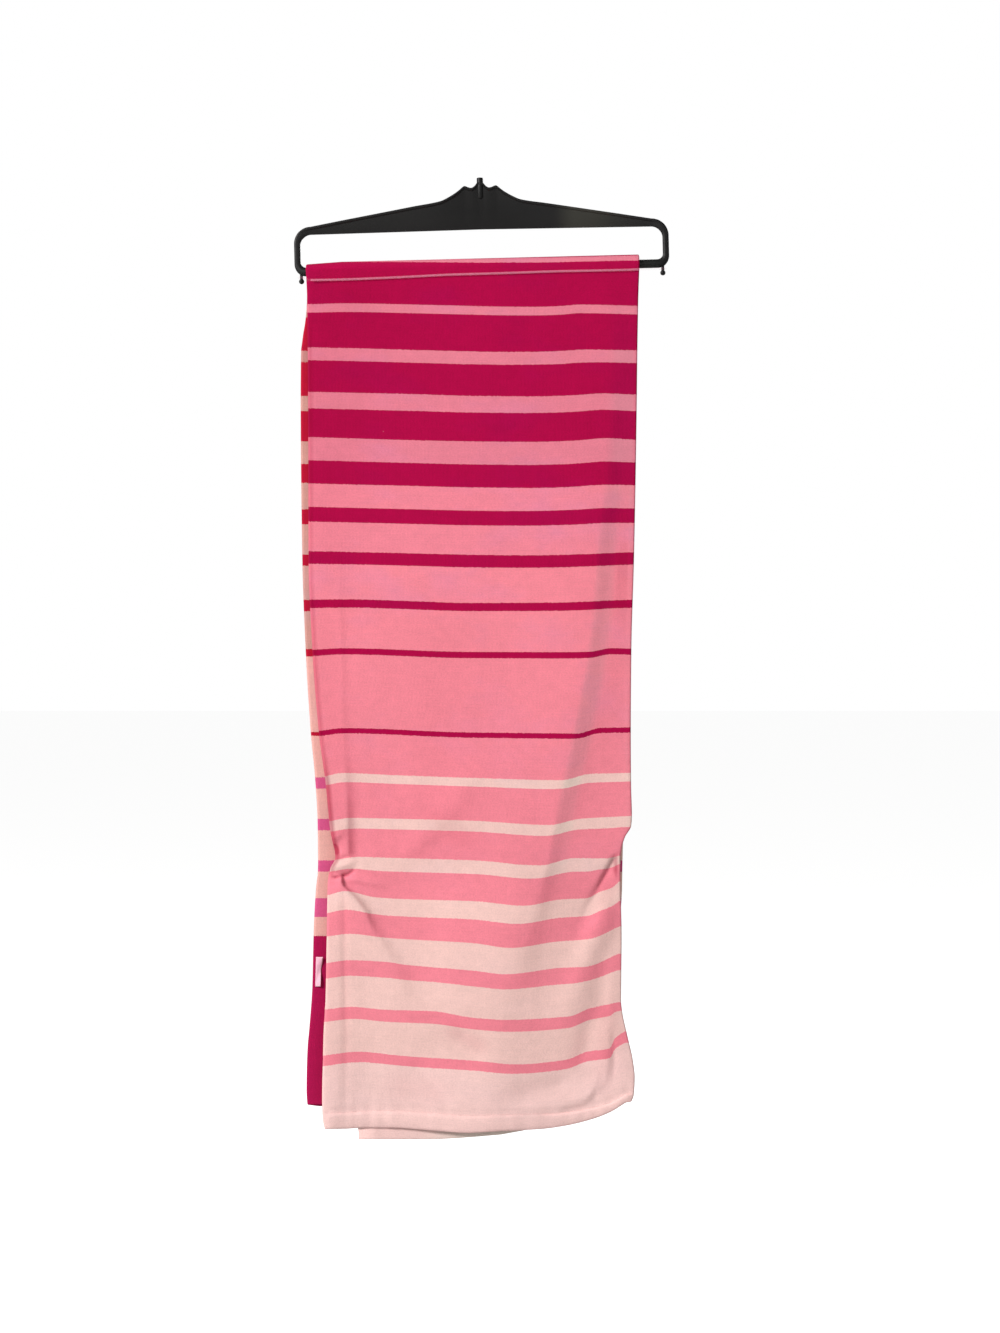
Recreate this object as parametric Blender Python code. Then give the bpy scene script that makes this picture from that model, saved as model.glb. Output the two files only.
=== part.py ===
# Beach towel folded in thirds along its length and hung at mid-length over the bar of a
# one-piece plastic hanger. Millimetres below, turned into metres when a mesh is made.
# The origin is the tip of the hanger's boss, +X is to the viewer's right, -Y to the viewer.

import math
from collections import namedtuple

import bmesh
import bpy
import numpy as np
from mathutils import Matrix, Vector

MM = 0.001

# Hanger, untilted: x from its middle, depth below the boss's tip
HANG_TILT = math.radians(1.4)
HANGER_HALF_WIDTH = 196.15
LEG_WIDTH = 6.5
RIM_HALF = 3.2
RIM_HEIGHT = 2.6
RIM_CHAMFER = 0.9
RIM_SLOPE = 1.0
WEB_HALF = 1.7
WEB_CHAMFER = 0.7
PLATE_BOTTOM = 53.8
ARM_END = 178.4
ARM_BOTTOM_END = 55.1
UPPER_CORNER_RADIUS = 17.7
UPPER_CORNER_TOP = 47.1
INNER_CORNER_RADIUS = 11.5
LEG_MIDDLE = 76.0
LOWER_CORNER_TOP = 86.0
LOWER_CORNER_REACH = 12.1
WINDOW_CORNER_TOP = 83.6
WINDOW_CORNER_RADIUS = 6.0
CORNER_STEPS = 7
BAR_STOPS = (120.0, 60.0, 0.0)
BAR_RADIUS = 4.5
BAR_DEPTH = 94.1
BOSS_RADIUS = 3.35
BOSS_LENGTH = 22.0
BOSS_TIP_CHAMFER = 0.5
BOSS_ROOT_CHAMFER = 1.5
BOSS_SIDES = 16
SOCKET_RADIUS = 1.3
SOCKET_LENGTH = 9.0
PEG_X = 189.2
PEG_BALL_DEPTH = 103.9
PEG_BALL_RADIUS = 2.75
PEG_NECK_RADIUS = 1.6
PEG_NECK_TOP = 94.0
PEG_BALL_STEPS = 6
PEG_SIDES = 12

# Top edge of the plate from its middle to the start of the straight arm
Contour = namedtuple("Contour", "x depth")
PLATE_TOP = [
    Contour(0.0, 4.6),
    Contour(3.0, 5.0),
    Contour(4.6, 7.2),
    Contour(6.6, 9.2),
    Contour(9.4, 10.5),
    Contour(12.6, 9.8),
    Contour(15.2, 8.6),
    Contour(16.8, 8.4),
    Contour(18.4, 9.4),
    Contour(21.4, 12.0),
    Contour(25.3, 14.9),
    Contour(33.3, 19.7),
    Contour(42.3, 23.7),
    Contour(70.0, 28.4),
    Contour(105.0, 34.4),
    Contour(142.0, 40.7),
]

# Cloth and its folds
CLOTH = 1.5
GAP = 0.3
PITCH = CLOTH + GAP
CLOTH_WIDTH = 1000.0
FOLDED_WIDTH = 345.0
FIRST_LAYER = BAR_RADIUS + GAP + CLOTH / 2
SELVEDGE_SHARE = 0.105
SELVEDGE_DIP = 1.2
SELVEDGE_DIP_SHARE = 0.075
SELVEDGE_DIP_REACH = 0.02
TIGHT_LENGTH = 90.0
HEM_DEPTH = 18.0

# Folded edges of the two falls, by depth below the origin
Edge = namedtuple("Edge", "depth left right")
FRONT_EDGES = [
    Edge(88, -180.5, 166),
    Edge(128, -179.5, 165),
    Edge(275, -179.3, 163),
    Edge(400, -179, 160),
    Edge(494, -175, 158),
    Edge(583, -168, 157.3),
    Edge(635, -161, 157.4),
    Edge(668, -158, 158.4),
    Edge(678, -157, 157.5),
    Edge(690, -155, 150.8),
    Edge(703, -152, 148.3),
    Edge(711, -151, 148),
    Edge(723, -156.5, 147.8),
    Edge(740, -159, 147.7),
    Edge(792, -160, 147),
    Edge(860, -161.3, 146.4),
    Edge(872, -162, 148.2),
    Edge(897, -163.4, 153.3),
    Edge(923, -164, 160),
    Edge(941, -164.3, 161.5),
    Edge(959, -164.4, 160.3),
    Edge(972, -164.4, 154),
    Edge(985, -163.1, 152),
    Edge(996, -160, 151),
]
BACK_EDGES = [
    Edge(88, -180.5, 166),
    Edge(128, -180.2, 164),
    Edge(157, -181.6, 163),
    Edge(181, -185.6, 162),
    Edge(233, -186.2, 161),
    Edge(400, -184, 157),
    Edge(494, -181, 155),
    Edge(583, -175.4, 153.3),
    Edge(625, -171, 152.4),
    Edge(672, -168.6, 150.3),
    Edge(722, -168, 149),
    Edge(745, -170, 148.6),
    Edge(791, -173.4, 145.5),
    Edge(846, -173.7, 143.6),
    Edge(891, -177.5, 142),
    Edge(912, -179.3, 141),
    Edge(954, -180.2, 139),
    Edge(970, -178.7, 138),
]

# Lower ends of the layers: depth at points across the towel
Hem = namedtuple("Hem", "x depth")
FRONT_HEM = [
    Hem(-162, 995), Hem(-142, 994.7), Hem(-120, 993.5), Hem(-94, 993.5), Hem(-49, 996.5),
    Hem(-12, 999), Hem(12, 997.5), Hem(65, 994), Hem(90, 989.5), Hem(117, 982.6),
    Hem(136, 975), Hem(153, 964.5),
]
TUCKED_FRONT_HEM = [
    Hem(-162, 995), Hem(-130, 1005.5), Hem(-49, 1005.5), Hem(-5, 1003), Hem(33, 999.4),
    Hem(47, 996), Hem(84, 987), Hem(126, 976), Hem(153, 964.5),
]
INNER_FRONT_HEM = [Hem(-162, 995), Hem(-90, 988), Hem(30, 990), Hem(90, 982), Hem(153, 960)]
BACK_HEM = [Hem(-180, 969.5), Hem(-166, 971), Hem(-60, 973), Hem(60, 972), Hem(138, 965)]
TUCKED_BACK_HEM = [Hem(-180, 969.5), Hem(-100, 966), Hem(60, 967), Hem(138, 965)]
INNER_BACK_HEM = [Hem(-180, 969.5), Hem(-90, 967), Hem(30, 966), Hem(138, 961)]

# Large folds: soft ridges (height over 0) and troughs (under 0). Each follows a line of
# (depth, x) points, with a height by depth and a reach to its left and right.
Fold = namedtuple("Fold", "line heights left right")
FRONT_FOLDS = [
    Fold([(160, 134), (442, 120), (546, 110), (609, 95), (682, 70), (766, 60), (860, 30)],
         [(180, 0), (360, 2.5), (600, 5), (720, 6), (800, 5), (880, 0)], 80, 15),
    Fold([(600, -5), (792, 28), (870, 26), (994, 10)],
         [(620, 0), (760, 6), (880, 8), (1000, 7)], 75, 60),
    Fold([(640, -146), (724, -150), (748, -136), (807, -104), (867, -73), (897, -45)],
         [(640, 0), (700, 5), (735, 6.5), (800, 5), (860, 3.5), (915, 0)], 46, 11),
    Fold([(700, 140), (740, 130), (782, 119), (834, 98), (870, 80)],
         [(690, 0), (730, 3), (760, 6), (830, 5), (900, 0)], 26, 13),
    Fold([(700, 144), (728, 130), (759, 112)], [(690, 0), (715, -4), (745, -3), (775, 0)], 6, 6),
    Fold([(840, 139), (930, 140)], [(845, 0), (880, -3), (920, -2), (950, 0)], 8, 6),
    Fold([(860, 152), (1000, 160)], [(860, 0), (930, 9), (1000, 11)], 26, 40),
    Fold([(700, -158), (1000, -158)], [(860, 0), (990, 5)], 30, 30),
]
BACK_FOLDS = [
    Fold([(250, -30), (620, -20), (980, -40)], [(200, 0), (500, 4), (980, 7)], 45, 60),
    Fold([(300, 110), (700, 90), (980, 60)], [(240, 0), (600, 5), (900, 6), (980, 5)], 26, 34),
    Fold([(400, -120), (980, -125)], [(380, 0), (700, 3), (980, 5)], 24, 24),
    Fold([(560, 40), (800, 10), (980, 20)], [(560, 0), (760, -3), (980, -3)], 22, 22),
]

# Grid over the cloth: shares of the folded width, and of each fall's length
ACROSS = [
    0.012, 0.035, 0.07, 0.13, 0.18, 0.24, 0.32, 0.41, 0.5, 0.58, 0.655, 0.72, 0.78,
    0.835, 0.88, 0.93, 0.975,
]
FRONT_ROWS = [
    0, 0.04, 0.12, 0.22, 0.33, 0.44, 0.54, 0.61, 0.66, 0.69, 0.71, 0.735, 0.765, 0.80,
    0.835, 0.87, 0.905, 0.94, 0.97, 0.995,
]
BACK_ROWS = [0, 0.04, 0.1, 0.18, 0.28, 0.4, 0.52, 0.62, 0.7, 0.78, 0.86, 0.93, 0.995]
CREST_STEPS = 8
FOLD_STEPS = 4

# Turned hem, from its stitched seam (share 0) to the towel's end (share 1): how far its
# outer face stands off the cloth's, the seam being a shallow groove
HemStep = namedtuple("HemStep", "share swell")
HEM_STEPS = [HemStep(0, -0.25), HemStep(0.16, 0.6), HemStep(0.9, 0.6), HemStep(1, 0)]

# Retainer cord: it hooks round each peg's neck and crosses the front of the towel
CORD_RADIUS = 1.0
CORD_LOOP_DEPTH = 99.8
CORD_LOOP_ANGLES = [math.radians(degrees) for degrees in range(20, 256, 26)]
CORD_SPACING = 5.0
CORD_FRONT = -(FIRST_LAYER + 2 * PITCH + CLOTH / 2 + GAP + CORD_RADIUS)
CORD_ROUTE = [
    Vector((-182.2, CORD_FRONT + 3.6, -105.3)),
    Vector((-179.6, CORD_FRONT + 0.6, -106.4)),
    Vector((-176.0, CORD_FRONT, -106.8)),
    Vector((-150.0, CORD_FRONT, -106.7)),
    Vector((-83.0, CORD_FRONT, -105.3)),
    Vector((0.0, CORD_FRONT, -101.1)),
    Vector((84.0, CORD_FRONT, -97.8)),
    Vector((140.0, CORD_FRONT, -95.6)),
    Vector((162.0, CORD_FRONT, -94.8)),
    Vector((170.0, CORD_FRONT + 1.2, -94.7)),
    Vector((181.0, CORD_FRONT + 5.6, -94.8)),
]

# Label: a bare two-ply tab near the left edge of the back fall
LABEL_LEFT = -172.0
LABEL_WIDTH = 9.0
LABEL_TOP = 815.0
LABEL_LENGTH = 31.0
LABEL_THICKNESS = 0.7
LABEL_COLUMNS = 3
LABEL_ROWS = 5


def curve(points, at):
    # Smooth curve through (position, value) pairs that never swings past its points
    xs, ys = np.array([(p[0], p[1]) for p in points], float).T
    secant = np.diff(ys) / np.diff(xs)
    slope = np.concatenate((secant[:1], np.zeros(len(xs) - 2), secant[-1:]))
    rising = secant[:-1] * secant[1:]
    keeps = rising > 0
    slope[1:-1][keeps] = 2 * rising[keeps] / (secant[:-1] + secant[1:])[keeps]
    at = np.clip(at, xs[0], xs[-1])
    i = np.clip(np.searchsorted(xs, at) - 1, 0, len(xs) - 2)
    step = xs[i + 1] - xs[i]
    t = (at - xs[i]) / step
    bend = slope[i] * t * (1 - t) ** 2 - slope[i + 1] * t**2 * (1 - t)
    return ys[i] * (1 + 2 * t) * (1 - t) ** 2 + ys[i + 1] * t**2 * (3 - 2 * t) + step * bend


def bar_height(x):
    # Height of the tilted bar's axis
    return (x * math.sin(HANG_TILT) - BAR_DEPTH) / math.cos(HANG_TILT)


def relief(folds, x, depth):
    # Outward height of the large folds at a place on a fall
    height = np.zeros(np.broadcast(x, depth).shape)
    for fold in folds:
        away = x - curve(fold.line, depth)
        reach = np.where(away < 0, fold.left, fold.right)
        height += curve(fold.heights, depth) * np.exp(-((away / reach) ** 2))
    return height


class Fall:
    # One hanging side of the towel: -1 is the front, +1 the back
    def __init__(self, side, edges, hems, folds):
        self.side = side
        self.left = [(e.depth, e.left) for e in edges]
        self.right = [(e.depth, e.right) for e in edges]
        self.hems = hems
        self.folds = folds

    def hem(self, layer, x):
        # Depth of the lower end, for layers counted from the bar outwards
        inner, tucked, outer = (curve(h, x) for h in self.hems)
        low = inner + (tucked - inner) * np.clip(layer, 0, 1)
        return low + (outer - low) * np.clip(layer - 1, 0, 1)

    def seam(self, x):
        return curve(self.hems[2], x) - HEM_DEPTH

    def row_depth(self, down, hem, layer, x):
        # down is the share from the bar to the hem's seam, hem that from there to the end
        top, seam = -bar_height(x), self.seam(x)
        return top + down * (seam - top) + hem * (self.hem(layer, x) - seam)

    def looseness(self, depth):
        return np.clip((depth - BAR_DEPTH) / TIGHT_LENGTH, 0, 1)

    def across(self, column, depth):
        # x, the x whose relief it follows, layer offset and the wall's own direction
        loose = self.looseness(depth)
        left_radius = PITCH * (0.5 + 0.5 * loose)
        right_radius = PITCH / 2
        low = curve(self.left, depth) + left_radius + CLOTH / 2
        high = curve(self.right, depth) - right_radius - CLOTH / 2
        x = low + column.share * (high - low)
        if column.kind == "right fold":
            turn = math.sin(column.angle), -math.cos(column.angle)
            offset = 1.5 * PITCH + right_radius * turn[1]
            return high + right_radius * turn[0], high, offset, turn
        if column.kind == "left fold":
            turn = -math.sin(column.angle), math.cos(column.angle)
            return low + left_radius * turn[0], low, left_radius * (1 + turn[1]), turn
        if column.kind == "outer":
            tent = max(0.0, 1 - column.share / SELVEDGE_SHARE)
            from_dip = (column.share - SELVEDGE_DIP_SHARE) / SELVEDGE_DIP_REACH
            beside = column.share < SELVEDGE_SHARE
            dip = SELVEDGE_DIP * loose * math.exp(-(from_dip**2)) * beside
            offset = 2 * PITCH - tent * 2 * (PITCH - left_radius) - dip
            return x, x, offset, (0.0, 1.0)
        return x, x, PITCH * column.layer, (0.0, -1.0)


Column = namedtuple("Column", "kind share layer angle")


def sheet_columns():
    # From the tucked free edge, round the right fold, over the front, round the left fold
    # and in to the inner free edge
    inner_share = (CLOTH_WIDTH - FOLDED_WIDTH * (2 - SELVEDGE_SHARE)) / FOLDED_WIDTH
    columns = [Column("flat", SELVEDGE_SHARE, 1, 0)]
    columns += [Column("flat", s, 1, 0) for s in ACROSS if s > SELVEDGE_SHARE]
    for i in range(FOLD_STEPS + 1):
        angle = math.pi * i / FOLD_STEPS
        columns.append(Column("right fold", 1, 1 + i / FOLD_STEPS, angle))
    columns += [Column("outer", s, 2, 0) for s in sorted(ACROSS + [SELVEDGE_SHARE])[::-1]]
    for i in range(FOLD_STEPS + 1):
        angle = math.pi * i / FOLD_STEPS
        columns.append(Column("left fold", 0, 2 - 2 * i / FOLD_STEPS, angle))
    columns += [Column("flat", s, 0, 0) for s in sorted(ACROSS + [SELVEDGE_SHARE])
                if s < inner_share - 0.01]
    return columns


FRONT = Fall(-1, FRONT_EDGES, (INNER_FRONT_HEM, TUCKED_FRONT_HEM, FRONT_HEM), FRONT_FOLDS)
BACK = Fall(1, BACK_EDGES, (INNER_BACK_HEM, TUCKED_BACK_HEM, BACK_HEM), BACK_FOLDS)


def fall_point(row, column, face):
    # A point of the wall on a fall; face is +1 on the cloth's face and -1 on its reverse
    fall = row.fall
    x = curve(fall.left, BAR_DEPTH) + column.share * FOLDED_WIDTH
    for _ in range(5):
        depth = fall.row_depth(row.down, row.hem, column.layer, x)
        x, anchor, offset, turn = fall.across(column, depth)
    thick = face * CLOTH / 2
    if column.kind == "outer" and face > 0:
        thick += row.swell
    out = FIRST_LAYER + offset + turn[1] * thick
    out += float(relief(fall.folds, anchor, min(depth, float(fall.seam(anchor)))))
    return Vector((x + turn[0] * thick, fall.side * out, -depth))


def crest_point(row, column, face):
    # A point of the wall over the bar; the angle runs from its front round to its back
    x, _, offset, turn = FRONT.across(column, BAR_DEPTH)
    px = x + turn[0] * face * CLOTH / 2
    radius = FIRST_LAYER + offset + turn[1] * face * CLOTH / 2
    height = float(bar_height(px)) + radius * math.sin(row.angle)
    return Vector((px, -radius * math.cos(row.angle), height))


Row = namedtuple("Row", "fall down hem swell angle")


def sheet_rows():
    # From the front hem, up, over the bar and down to the back hem
    def fall_rows(fall, shares):
        hem = [Row(fall, 1, step.share, step.swell, None) for step in HEM_STEPS]
        return [Row(fall, down, 0, 0, None) for down in shares] + hem

    angles = [math.pi * i / CREST_STEPS for i in range(1, CREST_STEPS)]
    crest = [Row(None, 0, 0, 0, angle) for angle in angles]
    return fall_rows(FRONT, FRONT_ROWS)[::-1] + crest + fall_rows(BACK, BACK_ROWS)


def sheet_point(row, column, face):
    return (fall_point if row.fall else crest_point)(row, column, face)


def mesh_object(name, points, faces, material):
    mesh = bpy.data.meshes.new(name)
    mesh.from_pydata([tuple(p * MM) for p in points], [], faces)
    mesh.materials.append(material)
    mesh.validate()
    obj = bpy.data.objects.new(name, mesh)
    bpy.context.scene.collection.objects.link(obj)
    return obj


def shade(obj, angle):
    obj.data.shade_smooth()
    obj.data.set_sharp_from_angle(angle=math.radians(angle))


def finish(name, colour, roughness, alpha=1.0):
    material = bpy.data.materials.new(name)
    material.use_nodes = True
    shader = material.node_tree.nodes["Principled BSDF"]
    shader.inputs["Base Color"].default_value = (*colour, 1)
    shader.inputs["Roughness"].default_value = roughness
    shader.inputs["Metallic"].default_value = 0.0
    shader.inputs["Alpha"].default_value = alpha
    return material


def add_towel():
    columns, rows = sheet_columns(), sheet_rows()
    wide, long = len(columns), len(rows)
    points = [sheet_point(row, column, face)
              for face in (1, -1) for row in rows for column in columns]

    def at(face, r, c):
        return (0 if face > 0 else wide * long) + r * wide + c

    faces = []
    for r in range(long - 1):
        for c in range(wide - 1):
            a, b = (r, c), (r, c + 1)
            d, e = (r + 1, c), (r + 1, c + 1)
            mirrored = "outer" in (columns[c].kind, columns[c + 1].kind)
            split = [(a, b, d), (b, e, d)] if mirrored else [(a, b, e), (a, e, d)]
            for corner in split:
                faces.append([at(1, *k) for k in corner])
                faces.append([at(-1, *k) for k in corner[::-1]])
    for r in range(long - 1):
        for c, order in ((0, 1), (wide - 1, -1)):
            edge = [at(1, r, c), at(1, r + 1, c), at(-1, r + 1, c), at(-1, r, c)]
            faces.append(edge[::order])
    for c in range(wide - 1):
        for r, order in ((0, -1), (long - 1, 1)):
            edge = [at(1, r, c), at(1, r, c + 1), at(-1, r, c + 1), at(-1, r, c)]
            faces.append(edge[::order])
    towel = mesh_object("towel", points, faces, finish("velour", (0.62, 0.12, 0.24), 0.95))
    shade(towel, 50)


Station = namedtuple("Station", "outer inner web roundness")


def corner(centre, reach_x, reach_depth, turn):
    # A point of a quarter ellipse that runs from straight out (0) to straight down (pi/2)
    return (centre[0] + reach_x * math.cos(turn), centre[1] + reach_depth * math.sin(turn))


def hanger_half():
    # Stations from the middle of the plate, out along the arm, down the leg, in along the bar
    inner_leg = HANGER_HALF_WIDTH - LEG_WIDTH
    half = []
    for x, depth in PLATE_TOP:
        low = PLATE_BOTTOM + (ARM_BOTTOM_END - PLATE_BOTTOM) * x / ARM_END
        half.append(Station((x, depth), (x, low), WEB_HALF, 0))
    outer_centre = (HANGER_HALF_WIDTH - UPPER_CORNER_RADIUS, UPPER_CORNER_TOP + UPPER_CORNER_RADIUS)
    inner_centre = (inner_leg - INNER_CORNER_RADIUS, ARM_BOTTOM_END + INNER_CORNER_RADIUS)
    for i in range(CORNER_STEPS + 1):
        share = i / CORNER_STEPS
        turn = math.pi / 2 * (share - 1)
        outer = corner(outer_centre, UPPER_CORNER_RADIUS, UPPER_CORNER_RADIUS, turn)
        inner = corner(inner_centre, INNER_CORNER_RADIUS, INNER_CORNER_RADIUS, turn)
        web = WEB_HALF + (RIM_HALF - WEB_HALF) * min(1, 2 * share)
        half.append(Station(outer, inner, web, 0.5 * share))
    half.append(Station((HANGER_HALF_WIDTH, LEG_MIDDLE), (inner_leg, LEG_MIDDLE), RIM_HALF, 0.5))
    bar_bottom, bar_top = BAR_DEPTH + BAR_RADIUS, BAR_DEPTH - BAR_RADIUS
    outer_centre = (HANGER_HALF_WIDTH - LOWER_CORNER_REACH, LOWER_CORNER_TOP)
    inner_centre = (inner_leg - WINDOW_CORNER_RADIUS, WINDOW_CORNER_TOP)
    for i in range(CORNER_STEPS + 1):
        share = i / CORNER_STEPS
        turn = math.pi / 2 * share
        outer = corner(outer_centre, LOWER_CORNER_REACH, bar_bottom - LOWER_CORNER_TOP, turn)
        inner = corner(inner_centre, WINDOW_CORNER_RADIUS, bar_top - WINDOW_CORNER_TOP, turn)
        web = RIM_HALF + (BAR_RADIUS - RIM_HALF) * share
        half.append(Station(outer, inner, web, 0.5 + 0.5 * share))
    for x in BAR_STOPS:
        half.append(Station((x, bar_bottom), (x, bar_top), BAR_RADIUS, 1))
    return half


def hanger_section(station):
    # Closed ring of points across the frame: the thick rim is on the outer side
    outer, inner = Vector(station.outer), Vector(station.inner)
    width = (inner - outer).length
    plain = [
        (0, RIM_HALF - RIM_CHAMFER),
        (RIM_CHAMFER, RIM_HALF),
        (RIM_HEIGHT, RIM_HALF),
        (RIM_HEIGHT + RIM_SLOPE, station.web),
        (width - WEB_CHAMFER, station.web),
        (width, station.web - WEB_CHAMFER),
    ]
    front = []
    for i, (across, half) in enumerate(plain):
        angle = math.pi * (i + 0.5) / len(plain)
        round_across = width / 2 * (1 - math.cos(angle))
        round_half = station.web * math.sin(angle)
        across += (round_across - across) * station.roundness
        half += (round_half - half) * station.roundness
        place = outer.lerp(inner, across / width)
        front.append(Vector((place.x, -half, -place.y)))
    return front + [Vector((p.x, -p.y, p.z)) for p in front[::-1]]


def turned(name, profile, x, segments):
    # Solid of revolution about a vertical axis, from (radius, depth) points; radius 0 closes
    points, rings = [], []
    for radius, depth in profile:
        if radius == 0:
            rings.append([len(points)])
            points.append(Vector((x, 0, -depth)))
            continue
        ring = []
        for i in range(segments):
            angle = 2 * math.pi * i / segments
            ring.append(len(points))
            points.append(Vector((x + radius * math.cos(angle), radius * math.sin(angle), -depth)))
        rings.append(ring)
    faces = []
    for upper, lower in zip(rings, rings[1:]):
        for i in range(segments):
            j = (i + 1) % segments
            if len(upper) == 1:
                faces.append([upper[0], lower[i], lower[j]])
            elif len(lower) == 1:
                faces.append([upper[i], lower[0], upper[j]])
            else:
                faces.append([upper[i], lower[i], lower[j], upper[j]])
    return mesh_object(name, points, faces, bpy.data.materials["black plastic"])


def boss_profile():
    return [
        (0, SOCKET_LENGTH),
        (SOCKET_RADIUS, SOCKET_LENGTH),
        (SOCKET_RADIUS, 0),
        (BOSS_RADIUS - BOSS_TIP_CHAMFER, 0),
        (BOSS_RADIUS, BOSS_TIP_CHAMFER),
        (BOSS_RADIUS, BOSS_LENGTH - BOSS_ROOT_CHAMFER),
        (BOSS_RADIUS - BOSS_ROOT_CHAMFER, BOSS_LENGTH),
        (0, BOSS_LENGTH),
    ]


def peg_profile():
    start = math.asin(PEG_NECK_RADIUS / PEG_BALL_RADIUS)
    profile = [(0, PEG_NECK_TOP), (PEG_NECK_RADIUS, PEG_NECK_TOP)]
    for i in range(PEG_BALL_STEPS):
        angle = start + (math.pi - start) * i / PEG_BALL_STEPS
        depth = PEG_BALL_DEPTH - PEG_BALL_RADIUS * math.cos(angle)
        profile.append((PEG_BALL_RADIUS * math.sin(angle), depth))
    return profile + [(0, PEG_BALL_DEPTH + PEG_BALL_RADIUS)]


def join_to(frame, piece):
    union = frame.modifiers.new(piece.name, "BOOLEAN")
    union.operation = "UNION"
    union.solver = "EXACT"
    union.object = piece
    piece.parent = frame
    piece.hide_render = True
    piece.display_type = "WIRE"


def add_hanger():
    plastic = finish("black plastic", (0.021, 0.019, 0.019), 0.42)
    half = hanger_half()
    other_half = [s._replace(outer=(-s.outer[0], s.outer[1]), inner=(-s.inner[0], s.inner[1]))
                  for s in half[-2:0:-1]]
    rings = [hanger_section(s) for s in half + other_half]
    size = len(rings[0])
    faces = []
    for s in range(len(rings)):
        after = (s + 1) % len(rings)
        for i in range(size):
            j = (i + 1) % size
            faces.append([s * size + i, s * size + j, after * size + j, after * size + i])
    frame = mesh_object("hanger_frame", [p for ring in rings for p in ring], faces, plastic)
    join_to(frame, turned("boss", boss_profile(), 0, BOSS_SIDES))
    join_to(frame, turned("left peg", peg_profile(), -PEG_X, PEG_SIDES))
    join_to(frame, turned("right peg", peg_profile(), PEG_X, PEG_SIDES))
    shade(frame, 35)
    frame.rotation_euler = (0, -HANG_TILT, 0)


def smooth_route(route):
    # Evenly spaced points on a curve through the route's own points
    along = [0.0]
    for a, b in zip(route, route[1:]):
        along.append(along[-1] + (b - a).length)
    stops = np.linspace(0, along[-1], round(along[-1] / CORD_SPACING))
    axes = [curve(list(zip(along, [p[k] for p in route])), stops) for k in range(3)]
    return [Vector(p) for p in zip(*axes)]


def cord_points():
    hook = PEG_NECK_RADIUS + GAP + CORD_RADIUS
    ends = []
    for side in (-1, 1):
        neck = Vector((side * PEG_X, 0, -CORD_LOOP_DEPTH))
        centre = Matrix.Rotation(-HANG_TILT, 3, "Y") @ neck
        ends.append([centre + Vector((-side * hook * math.cos(a), hook * math.sin(a), 0))
                     for a in CORD_LOOP_ANGLES])
    run = smooth_route([ends[0][-1]] + CORD_ROUTE + [ends[1][-1]])
    return ends[0][:-1] + run + ends[1][-2::-1]


def add_cord():
    shape = bpy.data.curves.new("retainer_cord", "CURVE")
    shape.dimensions = "3D"
    route = cord_points()
    spline = shape.splines.new("POLY")
    spline.points.add(len(route) - 1)
    for point, place in zip(spline.points, route):
        point.co = (*(place * MM), 1)
    shape.bevel_depth = CORD_RADIUS * MM
    shape.bevel_resolution = 2
    shape.use_fill_caps = True
    shape.materials.append(finish("clear elastic", (0.75, 0.5, 0.56), 0.3, 0.7))
    cord = bpy.data.objects.new("retainer_cord", shape)
    bpy.context.scene.collection.objects.link(cord)


def add_label():
    # It lies on the back fall's forward side and is made from that side's points
    wide, long = LABEL_COLUMNS, LABEL_ROWS
    surface = FIRST_LAYER - CLOTH / 2
    points = []
    for lift in (GAP, GAP + LABEL_THICKNESS):
        for r in range(long):
            depth = LABEL_TOP + LABEL_LENGTH * r / (long - 1)
            for c in range(wide):
                x = LABEL_LEFT + LABEL_WIDTH * c / (wide - 1)
                out = surface + float(relief(BACK.folds, x, depth)) - lift
                points.append(Vector((x, out, -depth)))
    layer = wide * long
    faces = []
    for r in range(long - 1):
        for c in range(wide - 1):
            a = r * wide + c
            quad = [a, a + 1, a + wide + 1, a + wide]
            faces.append(quad)
            faces.append([k + layer for k in quad[::-1]])
    top = list(range(wide))
    right = [r * wide + wide - 1 for r in range(1, long)]
    bottom = [(long - 1) * wide + c for c in range(wide - 2, -1, -1)]
    left = [r * wide for r in range(long - 2, 0, -1)]
    rim = top + right + bottom + left
    for a, b in zip(rim, rim[1:] + rim[:1]):
        faces.append([b, a, a + layer, b + layer])
    mesh_object("label", points, faces, finish("label tape", (0.92, 0.62, 0.66), 0.7))


def fix_normals(obj):
    shape = bmesh.new()
    shape.from_mesh(obj.data)
    bmesh.ops.recalc_face_normals(shape, faces=shape.faces)
    shape.to_mesh(obj.data)
    shape.free()


for old in list(bpy.data.objects):
    bpy.data.objects.remove(old, do_unlink=True)

add_hanger()
add_towel()
add_cord()
add_label()
for made in bpy.data.objects:
    if made.type == "MESH":
        fix_normals(made)
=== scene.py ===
import math

import bmesh
import bpy
import numpy as np
from mathutils import Matrix, Vector


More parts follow.
